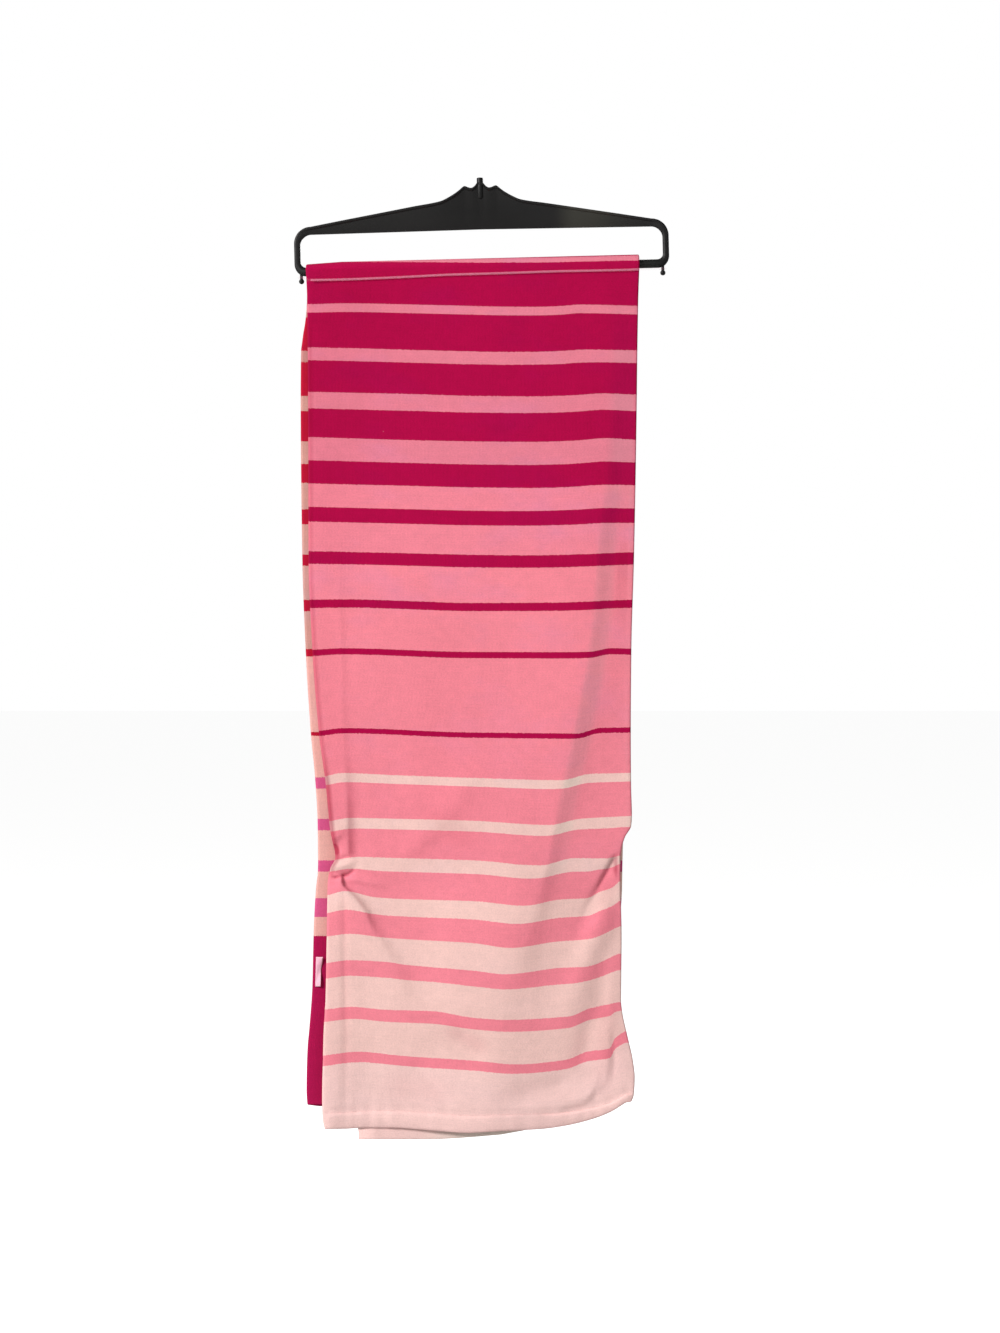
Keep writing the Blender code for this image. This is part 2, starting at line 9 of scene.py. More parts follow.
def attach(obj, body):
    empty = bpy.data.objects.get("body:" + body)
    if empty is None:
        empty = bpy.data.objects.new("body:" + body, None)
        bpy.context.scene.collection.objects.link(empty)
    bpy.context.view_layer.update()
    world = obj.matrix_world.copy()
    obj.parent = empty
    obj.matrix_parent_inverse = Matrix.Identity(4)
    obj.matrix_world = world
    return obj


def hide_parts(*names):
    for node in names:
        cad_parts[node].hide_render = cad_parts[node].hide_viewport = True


# Striped velour beach towel, folded in thirds along its length and hung over the bar of a
# plastic hanger. Sizes in the dictionaries are millimetres, turned into metres in the meshes.
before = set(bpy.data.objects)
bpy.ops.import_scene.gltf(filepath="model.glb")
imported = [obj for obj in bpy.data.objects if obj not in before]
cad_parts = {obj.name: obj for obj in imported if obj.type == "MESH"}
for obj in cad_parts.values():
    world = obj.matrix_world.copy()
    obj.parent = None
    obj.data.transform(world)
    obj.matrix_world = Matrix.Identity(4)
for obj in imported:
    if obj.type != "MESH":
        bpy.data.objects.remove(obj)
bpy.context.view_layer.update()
mm = 0.001
print("frame loaded:", ", ".join(sorted(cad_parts)))

# Small helpers for shapes and node trees


def smoothCurve(points, at):
    # Smooth curve through (position, value) pairs that never swings past its points
    xs, ys = np.array([(p[0], p[1]) for p in points], float).T
    secant = np.diff(ys) / np.diff(xs)
    slope = np.concatenate((secant[:1], np.zeros(len(xs) - 2), secant[-1:]))
    keeps = secant[:-1] * secant[1:] > 0
    slope[1:-1][keeps] = (2 * secant[:-1] * secant[1:])[keeps] / (secant[:-1] + secant[1:])[keeps]
    at = np.clip(at, xs[0], xs[-1])
    i = np.clip(np.searchsorted(xs, at) - 1, 0, len(xs) - 2)
    step = xs[i + 1] - xs[i]
    t = (at - xs[i]) / step
    bend = slope[i] * t * (1 - t) ** 2 - slope[i + 1] * t**2 * (1 - t)
    return ys[i] * (1 + 2 * t) * (1 - t) ** 2 + ys[i + 1] * t**2 * (3 - 2 * t) + step * bend


def ease(t):
    t = np.clip(t, 0, 1)
    return t * t * (3 - 2 * t)


def linear(red, green, blue):
    # Screen colour, 0 to 255, as the renderer's own
    def one(c):
        c /= 255
        return c / 12.92 if c <= 0.04045 else ((c + 0.055) / 1.055) ** 2.4
    return one(red), one(green), one(blue)


def setInputs(tree, node, inputs):
    # Each input gets a value, or a link where it is given a socket
    for name, value in inputs.items():
        if isinstance(value, bpy.types.NodeSocket):
            tree.links.new(value, node.inputs[name])
        else:
            node.inputs[name].default_value = value


def addNode(tree, kind, inputs=None, **settings):
    made = tree.nodes.new(kind)
    for name, value in settings.items():
        setattr(made, name, value)
    setInputs(tree, made, inputs or {})
    return made


def mathNode(tree, operation, *values):
    return addNode(tree, "ShaderNodeMath", dict(enumerate(values)),
                   operation=operation).outputs[0]


def rangeNode(tree, value, low, high, toLow=0.0, toHigh=1.0, **settings):
    inputs = {"Value": value, "From Min": low, "From Max": high, "To Min": toLow,
              "To Max": toHigh}
    return addNode(tree, "ShaderNodeMapRange", inputs, **settings).outputs[0]


def mixNode(tree, share, colour, other, blend="MIX"):
    return addNode(tree, "ShaderNodeMix", {0: share, 6: colour, 7: other}, data_type="RGBA",
                   blend_type=blend).outputs[2]


def rampNode(tree, value, stops, blend="LINEAR"):
    made = addNode(tree, "ShaderNodeValToRGB", {"Fac": value})
    made.color_ramp.interpolation = blend
    elements = made.color_ramp.elements
    elements.remove(elements[1])
    for i, (position, colour) in enumerate(stops):
        stop = elements.new(position) if i else elements[0]
        stop.position = position
        stop.color = (*colour, 1)
    return made.outputs[0]


def bumpNode(tree, height, strength, deep):
    return addNode(tree, "ShaderNodeBump", {"Height": height, "Strength": strength,
                                            "Distance": deep * mm}).outputs[0]


def noiseNode(tree, place, scale, detail=2.0, roughness=0.55):
    made = addNode(tree, "ShaderNodeTexNoise", {"Vector": place, "Scale": scale,
                                                "Detail": detail, "Roughness": roughness})
    return made.outputs["Fac"]


def stretched(tree, place, scale):
    return addNode(tree, "ShaderNodeMapping", {"Vector": place, "Scale": scale}).outputs[0]


def toned(tree, colour, amount):
    # Colour made lighter or darker by a factor near 1
    grey = addNode(tree, "ShaderNodeCombineColor", {0: amount, 1: amount, 2: amount})
    return mixNode(tree, 1.0, colour, grey.outputs[0], "MULTIPLY")


def newMaterial(name):
    material = bpy.data.materials.new(name)
    material.use_nodes = True
    tree = material.node_tree
    return material, tree, tree.nodes["Principled BSDF"]


def linked(name, data):
    made = bpy.data.objects.new(name, data)
    bpy.context.scene.collection.objects.link(made)
    return made


def meshObject(name, points, faces, materials):
    # Points in millimetres
    mesh = bpy.data.meshes.new(name)
    mesh.from_pydata((np.asarray(points, float) * mm).tolist(), [], faces)
    for material in materials:
        mesh.materials.append(material)
    mesh.shade_smooth()
    return linked(name, mesh)


def turnOutwards(made):
    shape = bmesh.new()
    shape.from_mesh(made.data)
    bmesh.ops.recalc_face_normals(shape, faces=shape.faces)
    shape.to_mesh(made.data)
    shape.free()


def sheetFaces(long, wide):
    # A wall with long by wide points a side: its front, its back and its four rims
    cells = np.arange(long * wide).reshape(long, wide)
    front = np.stack([cells[:-1, :-1], cells[:-1, 1:], cells[1:, 1:], cells[1:, :-1]], -1)
    front = front.reshape(-1, 4)
    rims = [np.stack([line[:-1], line[1:], line[1:] + cells.size, line[:-1] + cells.size], 1)
            for line in (cells[0], cells[-1], cells[:, 0], cells[:, -1])]
    return front, front[:, ::-1] + cells.size, np.concatenate(rims)


def bridge(first, second):
    # Faces between two closed rings of point numbers; a ring of one number is a pole
    count = max(len(first), len(second))
    first, second = (ring * (count // len(ring)) for ring in (first, second))
    return [tuple(dict.fromkeys((first[j - 1], first[j], second[j], second[j - 1])))
            for j in range(count)]


def lengthsAlong(line):
    # How far each point of a line is from its first
    return np.concatenate([[0], np.cumsum(np.linalg.norm(np.diff(line, axis=0), axis=1))])


def setUv(mesh, name, places):
    corner = np.empty(len(mesh.loops), np.int32)
    mesh.loops.foreach_get("vertex_index", corner)
    uv = mesh.uv_layers.new(name=name).data
    uv.foreach_set("uv", places[corner].astype(np.float32).ravel())


# Camera, light and floor

view = {
    "distance": 2500.0,       # from the plane in front of the bar that the framing is set on
    "planeY": -5.0,
    "centreX": 21.1,
    "centreZ": -511.5,
    "seenHeight": 1393.0,
    "sensor": 36.0,
    "clipEnd": 100,           # metres
}

lamps = {
    # name: place, what it points at, width and height (all in metres), watts, colour
    "keyLight": ((-3.4, -2.8, 1.7), (0, 0, -0.5), (1.25, 1.25), 262, (1.0, 0.985, 0.97)),
    "fillLight": ((1.6, -2.4, 0.2), (0, 0, -0.5), (1.5, 1.5), 6, (0.96, 0.98, 1.0)),
    "backLight": ((0.9, 2.4, 0.6), (0, 0, -0.5), (1.6, 1.6), 45, (1.0, 1.0, 1.0)),
    "glossLight": ((0.21, -2.45, 0.47), (0.1, 0, -0.04), (0.1, 0.3), 2.0, (1.0, 0.98, 0.93)),
}

floor = {"height": -1300.0, "half": 40000.0, "colour": (0.55, 0.55, 0.545), "glow": 0.85}
sky = {"seen": 1.0, "light": 0.2}
white = (1, 1, 1, 1)


def addCamera():
    data = bpy.data.cameras.new("camera")
    data.sensor_width = view["sensor"]
    data.lens = view["sensor"] * view["distance"] / view["seenHeight"]
    data.clip_end = view["clipEnd"]
    camera = linked("camera", data)
    front = view["planeY"] - view["distance"]
    camera.location = Vector((view["centreX"], front, view["centreZ"])) * mm
    camera.rotation_euler = (math.pi / 2, 0, 0)
    bpy.context.scene.camera = camera


def addLamps():
    for name, (place, target, size, watts, colour) in lamps.items():
        data = bpy.data.lights.new(name, "AREA")
        data.shape = "RECTANGLE"
        data.size, data.size_y = size
        data.energy, data.color = watts, colour
        lamp = linked(name, data)
        lamp.location = place
        lamp.visible_camera = False
        away = Vector(target) - lamp.location
        lamp.rotation_euler = away.to_track_quat("-Z", "Y").to_euler()


def addSky():
    # The studio is seen as white and lights the object a little less than that
    world = bpy.data.worlds.new("studio")
    world.use_nodes = True
    tree = world.node_tree
    ground = tree.nodes["Background"]
    setInputs(tree, ground, {"Color": white, "Strength": sky["light"]})
    seen = addNode(tree, "ShaderNodeBackground", {"Color": white, "Strength": sky["seen"]})
    ray = addNode(tree, "ShaderNodeLightPath").outputs["Is Camera Ray"]
    mix = addNode(tree, "ShaderNodeMixShader", {0: ray, 1: ground.outputs[0],
                                                2: seen.outputs[0]})
    setInputs(tree, tree.nodes["World Output"], {"Surface": mix.outputs[0]})
    bpy.context.scene.world = world


def addFloor():
    paint, tree, shader = newMaterial("palePaint")
    # its glow is only seen, and lights nothing
    ray = addNode(tree, "ShaderNodeLightPath").outputs["Is Camera Ray"]
    setInputs(tree, shader, {
        "Base Color": (*floor["colour"], 1), "Roughness": 0.9, "Emission Color": white,
        "Emission Strength": mathNode(tree, "MULTIPLY", ray, floor["glow"])})
    half, height = floor["half"], floor["height"]
    corners = [(-half, -half, height), (half, -half, height), (half, half, height),
               (-half, half, height)]
    meshObject("floor", corners, [(0, 1, 2, 3)], [paint])


addCamera()
addLamps()
addSky()
addFloor()
bpy.context.scene.view_settings.view_transform = "Standard"
print("camera, light and floor are ready")

# Towel

towel = {
    "cloth": 1.5,
    "gap": 0.3,
    "clothWidth": 1000.0,
    "foldedWidth": 345.0,
    "selvedgeShare": 0.105,
    "tightLength": 90.0,
    # how far apart the outer layer's columns are, from a place across it on
    "outerColumnSteps": [(0, 1.3), (36, 2.0), (72, 5.2), (246, 2.1)],
    "innerColumnStep": 24.0,
    # shares of the way across: the outer layer's first column, last one, and the end of those kept
    "outerShares": (0.008, 0.985, 0.994),
    "innerShares": (0.03, 0.985),
    "foldSteps": 8,
    "crestSteps": 12,
    "measuredRow": 40,        # the row, from the front's hem up, that widths are measured on
    # how far apart the rows are, from a depth below the bar on
    "frontRowSteps": [(0, 8), (60, 15), (300, 9), (400, 6), (592, 1.4), (654, 2.7), (700, 4.3)],
    "backRowSteps": [(0, 8), (60, 18), (500, 12)],
    # waves: height, lengths of the wave across, shift by side, lengths of the one down, shift
    "waves": [(0.5, 23, 61, 2, 47, -83, 0), (0.3, 11.5, -37, 1, 29, 41, 1.3)],
    "waveGrowth": (0.15, 300, 500),   # share at first, depth they grow from, over how much
    # the tucked layers keep to the lowest relief this near, and hang further behind the outer one
    # by a share of it, from a depth down and between two sides, each with the run it sets in over
    "calmReach": 9,
    "heldBack": (0.8, 925, 60, -118, 40, 100, 50),
    "besideFold": 18,
    # puckers along the hem's seam: height, reach from the seam, wave and how it wanders
    "pucker": 0.22,
    "puckerReach": 9.0,
    "puckerWave": 2.9,
    "puckerWander": (1.7, 19.0),
    # painted shade along the left fold's edge: depth it sets in at, over how much, how much; where
    # it ends
    "foldEdgePaintedShade": [(120, 60, 0.33), (400, 60, 0.1), (600, 40, 0.25)],
    "foldEdgePaintedShadeEnd": (740, 24),
    # painted shadow that the outer layer's hem casts on the tucked layer's end
    "tuckedHemPaintedShadow": (1.6, -80, 80, 985, 8),   # how much, from an x and a depth, and their runs
    # hem, seam to end: share, how far the face stands off, share of the wall that is left
    "hemSteps": [(0, -1.3, 1), (0.06, -0.8, 1), (0.13, 0.35, 1), (0.25, 0.85, 1), (0.5, 1.0, 1),
                 (0.75, 0.85, 1), (0.9, 0.5, 1), (0.97, 0.1, 0.85), (1, -0.3, 0.5)],
}

bar = {"tilt": math.radians(1.4), "radius": 4.5, "depth": 94.1}
pitch = towel["cloth"] + towel["gap"]
firstLayer = bar["radius"] + towel["gap"] + towel["cloth"] / 2

# Folded edges by depth: depth, left, right
frontEdges = [
    (88, -182.2, 166.8), (128, -180.4, 165.5), (275, -179.3, 163.5), (400, -179, 161.1),
    (494, -175, 158.4), (583, -168, 157.8), (635, -161, 158.1), (668, -158, 159),
    (678, -157, 158.2), (690, -155, 151.6), (703, -152, 147.9), (711, -151, 147),
    (723, -156.5, 146.9), (740, -159, 147), (792, -160, 148.2), (860, -161.3, 147.6),
    (872, -162, 148.8), (897, -163.4, 154.2), (923, -164, 160), (941, -164.5, 162),
    (959, -164.8, 161), (972, -164.8, 156), (985, -164.2, 153.5), (996, -161.8, 152),
]
backEdges = [
    (88, -182.2, 166.8), (128, -181.2, 164), (150, -182.7, 163), (165, -185, 162.5),
    (181, -186.8, 162), (233, -187.2, 161), (400, -185.5, 157), (494, -182, 155),
    (583, -176.5, 153.3), (625, -172.4, 152.4), (672, -169.6, 150.3), (722, -169, 149),
    (745, -171.4, 148.6), (791, -173.7, 145.5), (846, -175, 143.6), (891, -178.3, 142),
    (912, -180.2, 141), (954, -181.1, 139), (970, -180.2, 138),
]

# Lower ends of the layers, from the inner one out: x, depth
frontHems = [
    [(-162, 995), (-90, 988), (30, 990), (90, 982), (153, 960)],
    [(-162, 995), (-130, 1005.5), (-49, 1005.5), (-5, 1003), (33, 999.4), (47, 996), (84, 987),
     (126, 976), (153, 964.5)],
    [(-162, 995), (-142, 994.7), (-120, 993.5), (-94, 993.5), (-49, 996.5), (-12, 999),
     (12, 997.7), (65, 994.8), (90, 991.3), (117, 984.7), (136, 977.4), (153, 967)],
]
# How far above the outer layer's lower end its hem is sewn, by x
frontHemDepths = [(-162, 17), (-49, 18.6), (20, 17.5), (56, 16.5), (90, 14), (117, 12), (140, 9.5),
                  (153, 9)]
backHemDepths = [(-180, 17.5), (0, 18), (60, 18.4), (138, 17.5)]
backHems = [
    [(-180, 969.5), (-90, 967), (30, 966), (138, 961)],
    [(-180, 969.5), (-100, 966), (60, 967), (138, 965)],
    [(-180, 969.5), (-166, 971), (-60, 973), (60, 972), (138, 965)],
]

# Folds as soft ridges (height over 0) and troughs (under 0) along lines. A line's points are
# x, depth, height, reach to the left, reach to the right, and reaches that are left out stay
# as they were; a low power makes a sharp crease.
frontFolds = {
    "rightBand": (1.6, [(138, 160, 0, 60, 14), (138, 233, 0.9, 70, 13), (135, 285, 1.5, 75),
        (129, 338, 2.5, 80), (124.5, 379, 3.2), (118, 463, 3.5, 80, 14), (111, 515, 3.8, 80, 15),
        (97, 588, 4.1), (84, 646, 4, 75, 14), (76, 682, 4.1, 70, 13), (71, 714, 4, 65, 12),
        (63, 745, 3.8, 60), (52, 787, 3.4, 50, 14), (42, 823, 2.5, 45, 18), (31, 860, 0, 40)]),
    "belly": (2, [(-5, 588, 0, 75, 50), (0, 651, 3), (26, 735, 6, 80, 60), (29, 787, 8, 80, 62),
        (27, 839, 8), (16, 902, 7), (5, 1001, 7)]),
    "leftDiagonal": (1.5, [(-144.5, 728, 0, 12, 1.8), (-144.8, 731, 4.2, 14, 1.9),
        (-144.8, 737, 4.8, 18, 2), (-142.8, 742, 5, 22, 2.4), (-138, 746.5, 5.2, 28, 3),
        (-132.5, 752, 5.2, 32, 3.5), (-125.5, 760.5, 5.2, 36, 4), (-119.5, 769, 5.2, 38, 4.6),
        (-117, 776, 5, 40, 5.2), (-112.5, 786.5, 4.6, 42, 6.2), (-103, 800.5, 4.2, 44, 8),
        (-91.5, 820, 3.5, 46, 10), (-78, 853.5, 2.5, 46, 12), (-69.5, 868.5, 2, 46, 13),
        (-52, 890, 1.4, 46, 15), (-40, 899, 0)]),
    "selvedgeRidge": (1.6, [(-148, 379, 0, 10, 4), (-146, 442, 0.5), (-144.5, 505, 0.6),
        (-143, 584, 0.6), (-140.5, 640.5, 0.8, 9), (-139.5, 682, 0.9, 8), (-139.5, 706, 0.8, 7),
        (-139, 716, 0, 6)]),
    "besideSelvedge": (2, [(-131, 640, 0, 5, 9), (-130, 660, -0.4), (-130, 684, -0.6),
        (-130, 704, -0.6), (-130, 713, 0)]),
    "pinchHook": (1.3, [(-156, 730, 0, 1.8, 1.8), (-151, 731.8, -2.6, 1.9, 1.9),
        (-146.3, 730.3, -3), (-142.4, 729.8, -3.4, 2, 2), (-137.7, 728.5, -2.8, 1.9, 1.9),
        (-133, 725.4, -2), (-130.5, 722, 0, 2, 2)]),
    "pinchRay": (1.8, [(-141, 733.5, 0, 3, 3), (-134, 734.2, 2, 3.2, 3.4),
        (-127, 735, 2.2, 3.4, 3.8), (-112.6, 738, 1.8, 3.8, 4.4), (-91.7, 741.5, 0, 5, 6)]),
    "upperRay": (1.8, [(-130, 719, 0, 4, 4), (-122, 722.5, 1.4, 3.6, 3.6),
        (-113, 726.5, 1.2, 4, 4), (-100, 728, 0.9, 5), (-84, 729, 0, 6, 5)]),
    "edgePuff": (1.8, [(-140, 680, 0, 5, 4.5), (-145.5, 685.5, 1.7, 5, 4),
        (-151, 690, 2.4, 5, 3.6), (-156, 693.5, 1.2, 4, 3.4)]),
    "edgePocket": (1.4, [(-154, 697.5, 0, 1.8, 1.8), (-151.6, 698.8, -3.4, 2.2, 2.2),
        (-149.5, 702.5, -3.4, 2.4, 2.4), (-148.3, 707.5, -2, 2.2, 2.2), (-147.5, 711, 0, 2, 2)]),
    "pinchPuff": (1.8, [(-157, 724.5, 0, 4, 3.6), (-152, 721.5, 2.2, 5, 3.8),
        (-144, 720, 2.4, 5, 4), (-136, 717.5, 1.6), (-127, 715, 0)]),
    "topWrinkle": (1.4, [(-147, 711.5, 0, 1.6, 1.6), (-143, 711, -1.5, 1.8, 1.8),
        (-138.5, 710.4, -1.3), (-133, 709.5, 0)]),
    "rightTuck": (1.3, [(143, 706, 0, 2, 5), (139.5, 713, -3.2, 2.2, 6),
        (131.5, 727, -3.2, 2.2, 8), (126, 737, -2.9, 2.2, 9), (121, 746.5, -2.5, 2.4, 10),
        (117, 753.5, -1.9, 2.8), (113.5, 760.5, -1.2, 4), (104.5, 781.5, -0.5, 6),
        (98, 800, 0, 8)]),
    "rightRidge": (2, [(136, 750, 0, 6, 8), (131, 766, 3, 9, 12), (125, 783, 4.3, 12, 15),
        (118, 803, 4.5, 14, 18), (110, 826, 4.2, 16, 20), (101, 852, 3.2, 18, 22),
        (92, 878, 2, 18, 20), (84, 900, 0, 16, 18)]),
    "outerShade": (2, [(142, 790, 0, 10, 10), (130, 815, -1.6, 12, 12), (128, 845, -2, 14),
        (126, 880, -1.6), (122, 905, 0)]),
    "bellyShade": (2, [(-8, 622, 0, 14, 9), (-22, 652, 1.2, 15), (-42, 676, 1.5),
        (-66, 700, 1.4, 14, 8), (-90, 716, 0, 12)]),
    "cornerFlare": (2, [(152, 860, 0, 26, 40), (156, 930, 4, 28), (160, 1001, 5)]),
    "cornerRidge": (2, [(137, 800, 0, 12, 8), (136, 850, 1.4), (135, 880, 1.2),
        (134, 905, 1, 12, 6), (133, 925, 0.8, 10, 5), (131, 940, 0, 8)]),
    "cornerStep": (2, [(119, 866, 0, 9, 9), (116, 880, -0.9, 9, 10), (112.5, 893, -1.2),
        (110.5, 908, -1.1, 9, 9), (106, 921, -0.7, 8, 8), (95, 930, 0)]),
    "cornerCrease": (1.4, [(139.5, 885, 0, 3, 3), (139.5, 900, -0.6, 2.6),
        (140, 915, -1.1, 2.3, 3.6), (140, 930, -1.1), (139, 942, -0.6, 2.6, 4), (137, 952, 0, 3)]),
    "cornerTrough": (1.6, [(130, 934, 0, 2.4, 4), (127.5, 942, -1.4), (122.5, 953, -1.4),
        (118, 962, -0.8, 3), (114, 968, 0)]),
    "hemRidge": (1.8, [(134, 924, 0, 9, 3), (131, 940, 1.6, 10), (123, 954, 2.4, 11),
        (109, 964.5, 2.6), (87, 972, 2.4), (58, 977.5, 1.6), (26, 981, 0)]),
    "hemHollow": (2, [(100, 936, 0, 10, 9), (84, 947, -2, 11), (42, 960, -1.8), (14, 966, 0)]),
    "leftRim": (2, [(-158, 740, 0, 30, 30), (-158, 818, 1.5), (-158, 1001, 5)]),
    "lowerDip": (1.8, [(-142.5, 742, 0, 4, 4), (-142, 760, -0.9), (-141, 850, -0.9),
        (-140, 950, -0.7, 5, 5), (-139, 1001, -0.4)]),
    "middleRay": (2, [(-66, 852, 0, 8, 6), (-50, 860, 1.3), (-20, 868, 1.5), (4, 874, 0)]),
    "middleDip": (2, [(-34, 892, 0, 10, 10), (-22, 901, -1.7), (-4, 912, -1.7), (10, 921, 0)]),
    "faintCrease": (1.4, [(-71, 920.5, 0, 5, 5), (-63.5, 933, -1.2, 5, 4), (-49, 947, -1.6),
        (-33, 964.5, -1, 6), (-26, 973, 0)]),
}
backFolds = {
    "middleBulge": (2, [(-30, 200, 0, 45, 60), (-25, 500, 4), (-40, 980, 7)]),
    "sideFold": (2, [(110, 240, 0, 26, 34), (90, 600, 5), (72, 900, 6), (60, 980, 5)]),
    "edgeFold": (2, [(-120, 380, 0, 24, 24), (-123, 700, 3), (-125, 980, 5)]),
    "hollow": (2, [(40, 560, 0, 22, 22), (10, 760, -3), (20, 980, -3)]),
    "longCrease": (1.5, [(-78, 640, 0, 12, 7), (-70, 760, 2, 14, 6), (-52, 860, 2.6, 16, 7),
        (-20, 935, 1.4, 16, 9), (0, 960, 0)]),
    "shortCrease": (1.4, [(118, 700, 0, 7, 6), (104, 740, -2, 8), (88, 790, -2, 9, 7),
        (70, 835, 0)]),
    "hemCrease": (1.5, [(-150, 830, 0, 8, 8), (-128, 880, -1.5, 9, 7), (-96, 930, -1.3),
        (-70, 955, 0)]),
}

# Painted shade on the front, as lines of strength: greyer (over 0) on fold flanks, edges and
# bands that lie in shade, darker (under 0) in creases, crevices and shaded patches
paintedShades = {
    "rightBand": (5, [(142, 275, 0, 6, 9), (136, 337, 0.7, 7, 11), (131, 380, 1, 7, 12),
        (125, 463, 1), (118, 515, 1.1), (104, 588, 1.1), (91, 646, 0.9), (82, 700, 0.5),
        (76, 745, 0)]),
    "besideBand": (3, [(152, 310, 0, 8, 10), (151, 345, -0.14, 9, 11), (149, 415, -0.2),
        (147, 475, -0.08, 8, 10), (142, 540, -0.08, 12, 12), (135, 600, -0.05, 15, 16),
        (130, 660, -0.02), (124, 705, 0, 14, 14)]),
    "rightRim": (4, [(164, 275, 0, 3, 9), (161, 330, 1.4, 3.4), (159, 480, 2, 3.6),
        (157, 600, 2, 3.4), (158, 672, 1.4, 3), (155, 690, 0)]),
    "insideTuck": (2, [(142.5, 708, 0, 1.5, 2.5), (139, 714, -0.45, 1.7),
        (131.5, 727.5, -0.5, 1.7, 1.7), (123, 743, -0.3), (117, 754, 0, 2, 2)]),
    "tuckMouth": (3, [(145, 704, 0, 3, 4), (143.6, 712, -0.6, 3.4, 5), (143.4, 724, -0.75, 4),
        (146, 734, -0.3, 3), (149, 750, 0)]),
    "tuckSide": (2, [(144, 726, 0, 6, 6), (136, 742, -0.14, 7, 7), (128, 760, -0.12, 8, 8),
        (120, 776, 0)]),
    "cornerSide": (2, [(136, 850, 0, 12, 9), (135, 880, -0.15, 14, 14), (132, 930, -0.16, 15, 18),
        (126, 956, -0.05, 14, 14), (122, 964, 0, 12)]),
    "middle": (2, [(-40, 400, 0, 60, 50), (-38, 470, -0.06), (-34, 715, -0.06, 60, 45),
        (-34, 740, 0)]),
    "selvedgeLine": (2, [(-138, 600, 0, 1.2, 6), (-137, 640, -0.22, 1.2, 7),
        (-136.5, 684, -0.38, 1.1), (-136, 706, -0.5, 1.1, 6), (-135, 714, 0, 1.2, 5)]),
    "hook": (2, [(-155.5, 730.3, 0, 1.3, 1.3), (-151, 731.6, -0.8, 1.5, 1.5),
        (-146, 730.2, -0.5, 1.4, 1.4), (-142.4, 729.9, -0.9, 1.7, 1.7),
        (-137.7, 728.6, -0.7, 1.5, 1.5), (-133, 725.6, -0.5, 1.4, 1.4),
        (-131, 722.5, 0, 1.3, 1.3)]),
    "stem": (2, [(-143.6, 731, 0, 1.3, 1.3), (-143.2, 736, -0.4, 1.4, 1.4), (-141.2, 741, -0.3),
        (-136.5, 745.5, -0.2), (-130.5, 751, 0, 1.5, 1.5)]),
    "pocket": (2, [(-154, 698, 0, 1.5, 1.5), (-151.4, 699.5, -0.9, 1.9, 1.9), (-149.2, 704, -1),
        (-148, 709, 0, 1.5, 1.5)]),
    "rightVeil": (4, [(152, 120, 0, 14, 16), (151, 170, 1), (150, 233, 1.2), (149, 300, 1, 13),
        (148, 345, 0.4, 12), (147, 400, 0)]),
    "leftSide": (2, [(-168, 84, -0.22, 20, 80), (-168, 170, -0.17), (-165, 260, -0.12, 20, 60),
        (-160, 400, -0.1, 20, 30), (-160, 500, -0.1, 20, 26), (-152, 600, -0.14, 20, 24),
        (-148, 690, -0.13, 18, 20), (-148, 716, 0)]),
    "lowerLine": (2, [(-141, 742, 0, 3.5, 4), (-141, 765, -0.12), (-140, 900, -0.12, 4, 5),
        (-139, 965, 0)]),
    "middlePatch": (2, [(-38, 884, 0, 9, 9), (-27, 892, -0.18), (0, 908, -0.18), (12, 916, 0)]),
    "cornerPatch": (2, [(113, 884, 0, 8, 8), (108, 900, -0.12), (98, 923, -0.14, 9, 9),
        (92, 936, 0)]),
    "aboveHem": (2, [(-104, 944, 0, 16, 16), (-82, 950, -0.1, 16, 14), (-46, 957, -0.1),
        (-24, 962, 0, 14)]),
    "bellyTop": (2, [(-62, 664, 0, 12, 10), (-40, 676, -0.13, 13), (-20, 684, -0.13, 12),
        (0, 692, 0)]),
    "lowLeft": (2, [(-168, 745, 0, 12, 12), (-160, 765, -0.05), (-160, 960, -0.05),
        (-160, 990, 0)]),
}

